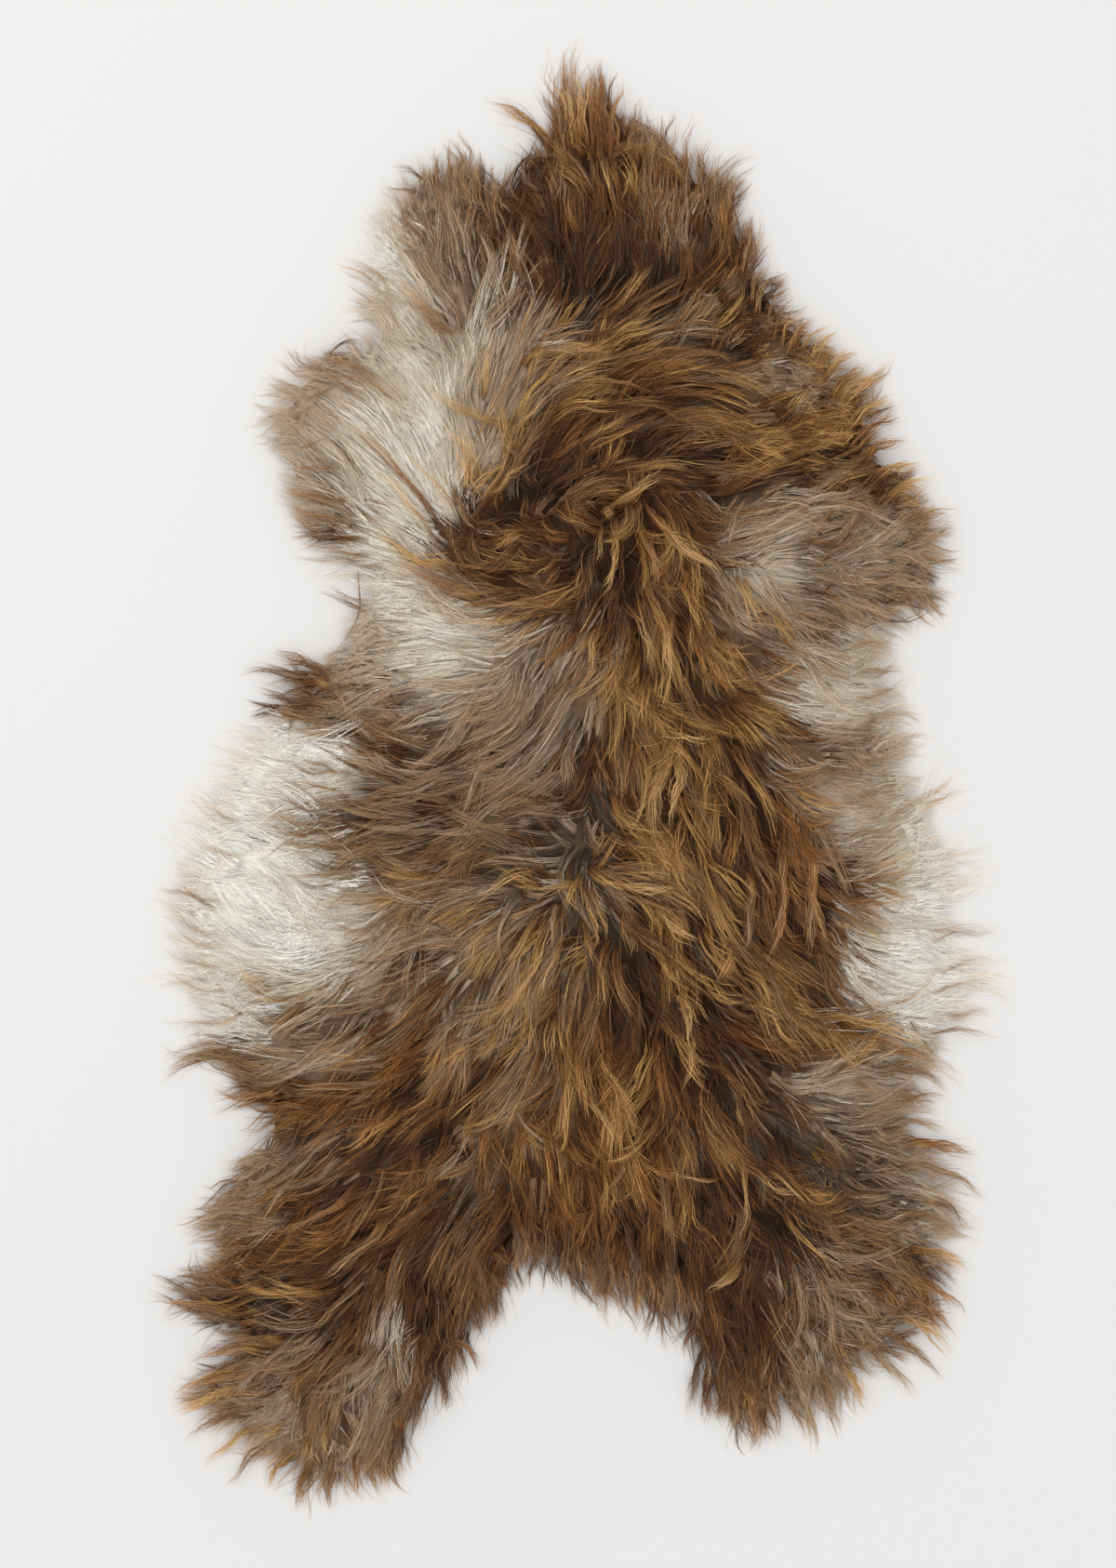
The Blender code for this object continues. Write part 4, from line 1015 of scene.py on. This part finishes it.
def coat_shades(plain, patches, blend):
    """A rule that gives each hair its shade's number by its draw and the patches of the coat it lies in."""
    pale = NAMES.index("brown")

    def rule(points, lock, draws):
        """The shades' numbers, the paler ones blended into each other."""
        shares = shade_shares(points, plain, patches)
        steps = np.cumsum(shares, axis=1)
        band = (draws[:, None] > steps).sum(axis=1)
        band = np.minimum(band, len(NAMES) - 1)
        along = shares[:, pale:] @ np.arange(pale, len(NAMES)) / (shares[:, pale:].sum(axis=1) + 1e-9)
        return np.where(band >= pale, band + (along - band) * blend, band)

    return rule


def golden_shades(points, lock, draws):
    """The golden locks' shades by number: gold or ginger by where they lie."""
    ginger = total_weight(GOLDEN_PATCHES, points, "ginger")
    share = ginger / (total_weight(GOLDEN_PATCHES, points) + 1e-6)
    is_ginger = draws < GOLDEN_GINGER + GINGER_MORE * share
    shade = np.where(is_ginger, NAMES.index("ginger"), NAMES.index("gold"))
    return np.where(draws < GOLDEN_BROWN, NAMES.index("brown"), shade)


def everywhere(points):
    """The same density all over."""
    return np.ones(len(points))


def under_density(points):
    """Full where the undercoat shows, and sparser under the thick of the outer coat."""
    return UNDER_LEAST + (1 - UNDER_LEAST) * np.maximum(paleness(points), whiteness(points))


def outer_density(points):
    """Sparser where the pale undercoat shows, and in the white flanks."""
    return (1 - PALE_THINS * paleness(points)) * (1 - WHITE_THINS * whiteness(points))


def golden_density(points):
    """More where golden locks gather, in the lighter lumps."""
    ground = ground_maps()
    by_tone = GOLDEN_LEAST + GOLDEN_BY_TONE * ground.at(ground.tone, points)
    return total_weight(GOLDEN_PATCHES, points) * by_tone


def ribbon_points(hairs, taper_power, scale):
    """The points of each hair's tapering ribbon: two at each ring, and one at its tip."""
    points, segments = hairs.points, len(hairs.t) - 1
    tangent = np.gradient(points, axis=1)
    tangent /= np.linalg.norm(tangent, axis=2, keepdims=True)
    side = np.cross(tangent, (0, 0, 1))
    side /= np.linalg.norm(side, axis=2, keepdims=True)
    roll = hairs.rolls[:, None, None]
    side = side * np.cos(roll) + np.cross(side, tangent) * np.sin(roll)
    taper = np.minimum(1, ROOT_WIDTH + ROOT_SPREAD * hairs.t) * (1 - hairs.t**taper_power)
    half = side * ((hairs.widths * scale)[:, None] * taper / 2)[..., None]
    left, right = (points - half)[:, :segments], (points + half)[:, :segments]
    corners = np.stack([left, right], axis=2).reshape(hairs.count, 2 * segments, 3)
    return np.concatenate([corners, points[:, segments:]], axis=1)


def ribbon_spots(hairs):
    """The places of a hair's points on the colour map: across it by its shade, and along it by its length."""
    segments = len(hairs.t) - 1
    across = np.array([-1, 1] * segments + [0]) / 2
    along = np.append(np.repeat(hairs.t[:segments], 2), 1)
    root, body = hairs.tints
    tint = root[:, None] + (body - root)[:, None] * smooth(along / TINT_END)
    u = np.clip(tint + across * hairs.spans[:, None], 0, 1)
    v = hairs.starts[:, None] + along * (hairs.ends - hairs.starts)[:, None]
    return np.stack([u, v], axis=-1).reshape(-1, 2)


def ribbon_mesh(name, hairs, taper_power, scale):
    """One mesh of the hairs' ribbons, with their colour map."""
    segments = len(hairs.t) - 1
    per_hair = 2 * segments + 1
    quads = [(2 * k, 2 * k + 1, 2 * k + 3, 2 * k + 2) for k in range(segments - 1)]
    pattern = [i for quad in quads for i in quad] + [2 * segments - 2, 2 * segments - 1, 2 * segments]
    loops = (np.arange(hairs.count)[:, None] * per_hair + np.array(pattern)).ravel()
    sizes = np.tile([4] * (segments - 1) + [3], hairs.count)
    starts = np.concatenate([[0], np.cumsum(sizes)[:-1]])
    mesh = bpy.data.meshes.new(name)
    mesh.vertices.add(hairs.count * per_hair)
    mesh.loops.add(len(loops))
    mesh.polygons.add(len(sizes))
    mesh.vertices.foreach_set("co", ribbon_points(hairs, taper_power, scale).ravel())
    mesh.loops.foreach_set("vertex_index", loops.astype(np.int32))
    mesh.polygons.foreach_set("loop_start", starts.astype(np.int32))
    mesh.update(calc_edges=True)
    mesh.uv_layers.new(name="OFBake").data.foreach_set("uv", ribbon_spots(hairs)[loops].ravel())
    mesh.shade_smooth()
    return mesh


def linear(colour):
    """A linear colour with alpha from an sRGB one."""
    parts = [c / 12.92 if c <= 0.04045 else ((c + 0.055) / 1.055) ** 2.4 for c in colour]
    return (*parts, 1)


def new_node(tree, kind, inputs=(), **settings):
    """A shader node with its settings, its inputs set to values or linked to other nodes' outputs."""
    node = tree.nodes.new("ShaderNode" + kind)
    for name, value in settings.items():
        setattr(node, name, value)
    for socket, value in dict(inputs).items():
        if isinstance(value, bpy.types.NodeSocket):
            tree.links.new(value, node.inputs[socket])
        else:
            node.inputs[socket].default_value = value
    return node


def worked_out(tree, operation, *values):
    """The result of a Math node on values or other nodes' outputs."""
    return new_node(tree, "Math", enumerate(values), operation=operation).outputs["Value"]


def eased(tree, value, start, end, most=1.0):
    """A value eased from 0 to most as it goes from start to end."""
    spans = {"Value": value, "From Min": start, "From Max": end, "To Max": most}
    return new_node(tree, "MapRange", spans, interpolation_type="SMOOTHSTEP").outputs["Result"]


def mixed(tree, factor, below, above, blend="MIX"):
    """Two colours mixed."""
    colours = {"Factor": factor, "A": below, "B": above}
    return new_node(tree, "Mix", colours, data_type="RGBA", blend_type=blend).outputs["Result"]


def shade_ramp(tree, part, shade):
    """The colour of a hair's root, body or tip, by its place across all the shades."""
    ramp = new_node(tree, "ValToRGB", {"Fac": shade}, label=part)
    stops = ramp.color_ramp.elements
    while len(stops) < len(SHADES):
        stops.new(0.5)
    for i, (stop, colours) in enumerate(zip(stops, SHADES.values())):
        stop.position = i / (len(SHADES) - 1)
        stop.color = linear(getattr(colours, part))
    return ramp.outputs["Color"]


def hair_colour_group():
    """A hair's colours by its shade and how far along it a point is, with fine streaks and painted light at
    its tip.
    """
    group = bpy.data.node_groups.new("hair colour", "ShaderNodeTree")
    for name in ("Shade", "Along", "Root End", "Tip Start", "Streaks", "Tip Shine"):
        group.interface.new_socket(name, in_out="INPUT", socket_type="NodeSocketFloat")
    group.interface.new_socket("Color", in_out="OUTPUT", socket_type="NodeSocketColor")
    given, result = group.nodes.new("NodeGroupInput").outputs, group.nodes.new("NodeGroupOutput")
    along = given["Along"]
    root, body, tip = (shade_ramp(group, part, given["Shade"]) for part in ("root", "body", "tip"))
    colour = mixed(group, eased(group, along, ROOT_START, given["Root End"]), root, body)
    colour = mixed(group, eased(group, along, given["Tip Start"], TIP_END), colour, tip)
    # Painted light: towards the tip the colour turns to that of light shining through thin hair
    fade = eased(group, along, *TIP_SHINE_SPAN, given["Tip Shine"])
    colour = mixed(group, fade, colour, linear(TIP_SHINE_COLOUR))
    slow = worked_out(group, "MULTIPLY", along, STREAK_SLANT)
    place = new_node(group, "CombineXYZ", {"X": given["Shade"], "Y": slow}).outputs["Vector"]
    noise = {"Vector": place, "Scale": STREAK_SCALE, "Detail": 2}
    streaks = new_node(group, "TexNoise", noise, noise_dimensions="2D").outputs["Fac"]
    swing = worked_out(group, "MULTIPLY", worked_out(group, "SUBTRACT", streaks, 0.5), STREAK_SWING)
    gain = worked_out(group, "MULTIPLY_ADD", swing, given["Streaks"], 1)
    streaked = new_node(group, "VectorMath", {0: colour, "Scale": gain}, operation="SCALE")
    group.links.new(streaked.outputs["Vector"], result.inputs["Color"])
    return group


def new_material(name, roughness, specular=0.5):
    """A material with a Principled shader, and that shader."""
    material = bpy.data.materials.new(name)
    material.use_nodes = True
    shader = material.node_tree.nodes["Principled BSDF"]
    shader.inputs["Roughness"].default_value = roughness
    shader.inputs["Specular IOR Level"].default_value = specular
    return material, shader


def surface(tree, shader, colour, height=None, strength=0, distance=0):
    """Gives a shader its colour, and its bumps from a height."""
    tree.links.new(colour, shader.inputs["Base Color"])
    if height is not None:
        bump = new_node(tree, "Bump", {"Height": height, "Strength": strength, "Distance": distance})
        tree.links.new(bump.outputs["Normal"], shader.inputs["Normal"])


def hair_material(name, root_end, tip_start, streaks, roughness, tip_shine=0):
    """Wool whose colour runs from its roots to its tips, by the piece's own colour map."""
    material, shader = new_material(name, roughness, 0.12)
    tree = material.node_tree
    spots = new_node(tree, "UVMap", uv_map="OFBake").outputs["UV"]
    parts = new_node(tree, "SeparateXYZ", {"Vector": spots}).outputs
    looks = {
        "Shade": parts["X"],
        "Along": parts["Y"],
        "Root End": root_end,
        "Tip Start": tip_start,
        "Streaks": streaks,
        "Tip Shine": tip_shine,
    }
    group = bpy.data.node_groups.get("hair colour") or hair_colour_group()
    surface(tree, shader, new_node(tree, "Group", looks, node_tree=group).outputs["Color"])
    return material


def suede_material(settings):
    """The tanned flesh side: pale napped leather with a fine grain and faint vein-like marks."""
    material, shader = new_material("tanned suede", 0.9, 0.25)
    tree = material.node_tree
    place = new_node(tree, "TexCoord").outputs["Object"]
    clouds = new_node(tree, "TexNoise", {"Vector": place, "Scale": 9, "Detail": 6})
    nap = new_node(tree, "TexNoise", {"Vector": place, "Scale": 420, "Detail": 3})
    pores = new_node(tree, "TexVoronoi", {"Vector": place, "Scale": 160})
    ramp = new_node(tree, "ValToRGB", {"Fac": clouds.outputs["Fac"]})
    worn, plain = ramp.color_ramp.elements
    worn.position, worn.color = 0.3, (*settings.suede_shadow, 1)
    plain.position, plain.color = 0.72, (*settings.suede_colour, 1)
    height = worked_out(tree, "ADD", nap.outputs["Fac"], pores.outputs["Distance"])
    surface(tree, shader, ramp.outputs["Color"], height, 0.35, 0.4 * MM)
    return material


def underwool_material():
    """Dense matted wool: the coat's root colours, partly its own and partly painted shade, with a tangled
    fine surface.
    """
    material, shader = new_material("underwool", 0.95, 0.1)
    tree = material.node_tree
    place = new_node(tree, "TexCoord").outputs["Object"]
    coat = new_node(tree, "Attribute", attribute_name="coat").outputs["Color"]
    noise = {"Vector": place, "Scale": 260, "Detail": 5, "Distortion": 1.5}
    tangle = new_node(tree, "TexNoise", noise).outputs["Fac"]
    spans = {"Value": tangle, "From Min": 0.3, "From Max": 0.7, "To Min": 0.7, "To Max": 1.1}
    shade = new_node(tree, "MapRange", spans).outputs["Result"]
    surface(tree, shader, mixed(tree, 1, coat, shade, "MULTIPLY"), tangle, 0.8, 1.5 * MM)
    return material


def add_piece(name, mesh, material):
    mesh.materials.clear()
    mesh.materials.append(material)
    piece = bpy.data.objects.new(name, mesh)
    bpy.context.scene.collection.objects.link(piece)
    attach(piece, "root")
    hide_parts("pelt")
    return piece


def cut_solid():
    """A copy of the solid's top, cut off level above its rim, open below."""
    form = bmesh.new()
    form.from_mesh(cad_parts["pelt"].data)
    bmesh.ops.remove_doubles(form, verts=form.verts, dist=0.01 * MM)
    everything = form.verts[:] + form.edges[:] + form.faces[:]
    bmesh.ops.bisect_plane(
        form, geom=everything, dist=0.001 * MM, plane_co=(0, 0, RIM_CUT), plane_no=(0, 0, 1), clear_inner=True
    )
    return form


def hide_mesh():
    """The tanned hide: the outline of the solid's cut, filled and thickened. Also its area."""
    form = cut_solid()
    rim = {edge for edge in form.edges if edge.is_boundary}
    bmesh.ops.delete(form, geom=form.faces[:], context="FACES_ONLY")
    bmesh.ops.delete(form, geom=[edge for edge in form.edges if edge not in rim], context="EDGES")
    bmesh.ops.delete(form, geom=[vert for vert in form.verts if not vert.link_edges], context="VERTS")
    for vert in form.verts:
        vert.co.z = HIDE_THICKNESS
    bmesh.ops.triangle_fill(form, edges=form.edges[:], use_dissolve=False, use_beauty=True)
    bmesh.ops.recalc_face_normals(form, faces=form.faces[:])
    if sum(face.normal.z for face in form.faces) < 0:
        bmesh.ops.reverse_faces(form, faces=form.faces[:])
    area = sum(face.calc_area() for face in form.faces)
    below = bmesh.ops.extrude_face_region(form, geom=form.faces[:], use_keep_orig=True)["geom"]
    for vert in (item for item in below if isinstance(item, bmesh.types.BMVert)):
        vert.co.z = 0
    bmesh.ops.recalc_face_normals(form, faces=form.faces[:])
    mesh = bpy.data.meshes.new("hide")
    form.to_mesh(mesh)
    form.free()
    return mesh, area


def underwool_mesh(ground):
    """The matted wool on the hide: the solid's own lumpy top, lowered, in the undercoat's root colours,
    partly its own and partly painted shade.
    """
    form = cut_solid()
    bmesh.ops.recalc_face_normals(form, faces=form.faces[:])
    spots = np.array([vert.co.xy for vert in form.verts])
    heights = ground.at(ground.soft_height, spots) * UNDERCOAT.level - UNDERWOOL_DEPTH
    for vert, height in zip(form.verts, heights):
        vert.co.z = HIDE_THICKNESS if vert.is_boundary else max(height, HIDE_THICKNESS)
    mesh = bpy.data.meshes.new("underwool")
    form.to_mesh(mesh)
    form.free()
    points = np.empty(len(mesh.vertices) * 3)
    mesh.vertices.foreach_get("co", points)
    shares = shade_shares(points.reshape(-1, 3)[:, :2], UNDER_SHARES, UNDER_PATCHES)
    roots = np.array([linear(shade.root) for shade in SHADES.values()])
    bodies = np.array([linear(shade.body) for shade in SHADES.values()])
    # Painted shade in part: the roots' darker colours, warmed and dimmed a little by the cast, fill the gaps
    # between locks
    colours = shares @ (roots + (bodies - roots) * UNDERWOOL_BODY) * UNDERWOOL_CAST
    mesh.attributes.new("coat", "FLOAT_COLOR", "POINT").data.foreach_set("color", colours.ravel())
    mesh.shade_smooth()
    return mesh


def add_hairs(label, layer, locks, shades, dice, material, settings):
    """Adds the ribbons along a layer's locks as one piece."""
    mesh = ribbon_mesh(label, Hairs(layer, locks, shades, dice), layer.taper, settings.hair_width)
    add_piece(label, mesh, material)


def add_layer(name, layer, material, settings, shades, density=everywhere, parts=1, near_rim=False):
    """Grows a layer of the coat, and adds it as one piece for each band across the pelt, head to tail.

    Its shades are two rules, for its hairs' roots and for the rest of them.
    """
    ground = ground_maps()
    dice = np.random.default_rng(layer.seed)
    path, share = grow_paths(ground, scattered(ground, layer.locks, dice, near_rim), layer, dice)
    kept = dice.random(len(path)) < density(path[:, LOCK_STEPS // 2])
    path, share = path[kept], share[kept]
    rooting = np.full(len(path), DEEP_ROOT)
    for count in layer.fills:
        roots = bare_roots(ground, path, share, density, count, dice)
        more_path, more_share = grow_paths(ground, roots, layer, dice)
        path, share = np.concatenate([path, more_path]), np.concatenate([share, more_share])
        rooting = np.append(rooting, np.full(len(more_path), SHALLOW_ROOT))
    order = np.argsort(-path[:, 0, 1])
    for number, band in enumerate(np.array_split(order, parts), start=1):
        label = name if parts == 1 else f"{name}_{number}"
        locks = path[band], share[band], np.full(len(band), layer.spread_mm * MM), rooting[band]
        add_hairs(label, layer, locks, shades, dice, material, settings)


def tuft_paths():
    """The paths of the single tufts, repeated for their widths, with their widths and shades by number."""
    rows = [tuft for tuft in TUFTS for _ in range(max(1, round(tuft.width_px / TUFT_WIDTH_PX)))]
    root = placed(columns(rows, "root_x", "root_y"))[:, None]
    along = placed(columns(rows, "tip_x", "tip_y"))[:, None] - root
    left = leftwards(along)
    left /= np.linalg.norm(left, axis=2, keepdims=True)
    t = np.linspace(0, 1, LOCK_STEPS + 1)[:, None]
    bow = columns(rows, "bow_px") * PIXEL * np.sin(math.pi * t[:, 0])
    spread = columns(rows, "width_px")[:, 0] * PIXEL / 2
    kinds = np.array([NAMES.index(row.shade) for row in rows])
    return root + along * t + left * bow[..., None], spread, kinds


def add_lights(scene, strength):
    """A soft sky, a broad lamp over the pelt's upper left and a weaker one across from it."""
    world = bpy.data.worlds.new("studio")
    world.use_nodes = True
    sky = world.node_tree.nodes["Background"]
    sky.inputs["Color"].default_value = SKY_COLOUR
    sky.inputs["Strength"].default_value = SKY_STRENGTH * strength
    scene.world = world
    for name, place, power in LAMPS:
        lamp = bpy.data.lights.new(name, "AREA")
        lamp.size = LAMP_SIZE
        lamp.energy = power * strength
        light = bpy.data.objects.new(name, lamp)
        light.location = place
        light.rotation_euler = (-Vector(place)).to_track_quat("-Z", "Y").to_euler()
        scene.collection.objects.link(light)


def add_camera(scene):
    """The photograph's view: straight down, over the middle of its frame."""
    camera = bpy.data.cameras.new("camera")
    camera.sensor_fit = "VERTICAL"
    camera.sensor_height = 36
    camera.lens = camera.sensor_height * CAMERA_HEIGHT / (PHOTO_PX[1] * PIXEL)
    eye = bpy.data.objects.new("camera", camera)
    eye.location = (*placed(np.array(PHOTO_PX) / 2), CAMERA_HEIGHT)
    scene.collection.objects.link(eye)
    scene.camera = eye


def colour_setting(name, description, value):
    """A colour that a user can change."""
    return FloatVectorProperty(
        name=name, description=description, default=value, subtype="COLOR", size=3, min=0, max=1
    )


class SheepskinSettings(bpy.types.PropertyGroup):
    """The sizes and colours of the rug and its stage."""

    hair_width: FloatProperty(
        name="Hair width", description="Scale of the width of every hair", default=1.0, min=0.2, max=3
    )
    suede_colour: colour_setting("Suede", "Lighter colour of the hide's flesh side", (0.62, 0.53, 0.40))
    suede_shadow: colour_setting("Suede, worn", "Darker colour of the hide's flesh side", (0.44, 0.35, 0.24))
    floor_colour: colour_setting("Floor", "Colour of the floor", (0.83, 0.81, 0.79))
    light: FloatProperty(name="Light", description="Strength of the soft light", default=1.0, min=0)


class SheepskinHide(bpy.types.Operator):
    """Make the tanned hide under the wool"""

    bl_idname = "sheepskin.hide"
    bl_label = "Hide"

    def execute(self, context):
        mesh, area = hide_mesh()
        piece = add_piece("hide", mesh, suede_material(context.scene.sheepskin))
        return {"FINISHED"}


class SheepskinUnderwool(bpy.types.Operator):
    """Make the matted wool next to the hide"""

    bl_idname = "sheepskin.underwool"
    bl_label = "Underwool"

    def execute(self, context):
        add_piece("underwool", underwool_mesh(ground_maps()), underwool_material())
        return {"FINISHED"}


class SheepskinUndercoat(bpy.types.Operator):
    """Comb the fine short undercoat"""

    bl_idname = "sheepskin.undercoat"
    bl_label = "Undercoat"

    def execute(self, context):
        material = hair_material("undercoat", root_end=0.3, tip_start=0.7, streaks=0.35, roughness=0.75)
        shades = [coat_shades(UNDER_SHARES, UNDER_PATCHES, UNDERCOAT.blend)] * 2
        add_layer("undercoat", UNDERCOAT, material, context.scene.sheepskin, shades, under_density)
        return {"FINISHED"}


class SheepskinOuterCoat(bpy.types.Operator):
    """Comb the long outer coat, in three pieces from the neck to the hind legs"""

    bl_idname = "sheepskin.outer_coat"
    bl_label = "Outer coat"

    def execute(self, context):
        material = hair_material("outer coat", root_end=0.5, tip_start=0.4, streaks=0.7, roughness=0.55)
        shades = [coat_shades(OUTER_SHARES, OUTER_PATCHES, OUTER_COAT.blend)] * 2
        settings = context.scene.sheepskin
        add_layer("outer_coat", OUTER_COAT, material, settings, shades, outer_density, parts=3)
        return {"FINISHED"}


class SheepskinGoldenLocks(bpy.types.Operator):
    """Lay the wavy golden-tipped locks along the back"""

    bl_idname = "sheepskin.golden_locks"
    bl_label = "Golden locks"

    def execute(self, context):
        material = hair_material("golden locks", root_end=0.5, tip_start=0.3, streaks=0.6, roughness=0.5)
        shades = coat_shades(OUTER_SHARES, OUTER_PATCHES, OUTER_COAT.blend), golden_shades
        add_layer("golden_locks", GOLDEN_LOCKS, material, context.scene.sheepskin, shades, golden_density)
        return {"FINISHED"}


class SheepskinRimWisps(bpy.types.Operator):
    """Draw the long loose wisps out round the rim"""

    bl_idname = "sheepskin.rim_wisps"
    bl_label = "Rim wisps"

    def execute(self, context):
        # The wisps' thin tips get painted light shining through them
        material = hair_material("rim wisps", 0.3, 0.3, streaks=0.5, roughness=0.5, tip_shine=0.5)
        shades = [coat_shades(OUTER_SHARES, OUTER_PATCHES, RIM_WISPS.blend)] * 2
        add_layer("rim_wisps", RIM_WISPS, material, context.scene.sheepskin, shades, near_rim=True)
        return {"FINISHED"}


class SheepskinTufts(bpy.types.Operator):
    """Lay the single tufts and loose strands that show most"""

    bl_idname = "sheepskin.tufts"
    bl_label = "Tufts"

    def execute(self, context):
        path, spread, kinds = tuft_paths()
        # The strands' thin tips get painted light shining through them
        material = hair_material("tufts", 0.35, 0.35, streaks=0.5, roughness=0.5, tip_shine=0.3)

        def own_shade(points, lock, draws):
            """The shade that each tuft is listed with."""
            return kinds[lock]

        shades = coat_shades(OUTER_SHARES, OUTER_PATCHES, OUTER_COAT.blend), own_shade
        dice = np.random.default_rng(TUFT_STRANDS.seed)
        locks = path, np.ones(len(path)), spread, np.full(len(path), SHALLOW_ROOT)
        add_hairs("tufts", TUFT_STRANDS, locks, shades, dice, material, context.scene.sheepskin)
        return {"FINISHED"}


class SheepskinStage(bpy.types.Operator):
    """Set the floor, the soft light and the camera over the rug"""

    bl_idname = "sheepskin.stage"
    bl_label = "Stage"

    def execute(self, context):
        settings = context.scene.sheepskin
        form = bmesh.new()
        bmesh.ops.create_grid(form, x_segments=1, y_segments=1, size=FLOOR_REACH)
        mesh = bpy.data.meshes.new("floor")
        form.to_mesh(mesh)
        form.free()
        floor = bpy.data.objects.new("floor", mesh)
        context.scene.collection.objects.link(floor)
        material, shader = new_material("floor", 0.7)
        shader.inputs["Base Color"].default_value = (*settings.floor_colour, 1)
        mesh.materials.append(material)
        add_lights(context.scene, settings.light)
        add_camera(context.scene)
        context.scene.view_settings.view_transform = "Standard"
        return {"FINISHED"}


STEPS = (
    SheepskinHide,
    SheepskinUnderwool,
    SheepskinUndercoat,
    SheepskinOuterCoat,
    SheepskinGoldenLocks,
    SheepskinRimWisps,
    SheepskinTufts,
    SheepskinStage,
)


class SheepskinPanel(bpy.types.Panel):
    """The rug's sizes, colours and steps"""

    bl_idname = "VIEW3D_PT_sheepskin"
    bl_label = "Sheepskin rug"
    bl_space_type = "VIEW_3D"
    bl_region_type = "UI"
    bl_category = "Sheepskin"

    def draw(self, context):
        for name in SheepskinSettings.__annotations__:
            self.layout.prop(context.scene.sheepskin, name)
        for step in STEPS:
            self.layout.operator(step.bl_idname)


CLASSES = (SheepskinSettings, *STEPS, SheepskinPanel)


def register():
    """Registers the classes, and gives each scene its settings."""
    for cls in CLASSES:
        bpy.utils.register_class(cls)
    bpy.types.Scene.sheepskin = PointerProperty(type=SheepskinSettings)


def unregister():
    """Undoes what register did."""
    del bpy.types.Scene.sheepskin
    for cls in reversed(CLASSES):
        bpy.utils.unregister_class(cls)


def main():
    """Makes the rug and its stage."""
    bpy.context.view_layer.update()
    register()
    bpy.ops.sheepskin.hide()
    bpy.ops.sheepskin.underwool()
    bpy.ops.sheepskin.undercoat()
    bpy.ops.sheepskin.outer_coat()
    bpy.ops.sheepskin.golden_locks()
    bpy.ops.sheepskin.rim_wisps()
    bpy.ops.sheepskin.tufts()
    bpy.ops.sheepskin.stage()


if __name__ == "__main__":
    main()
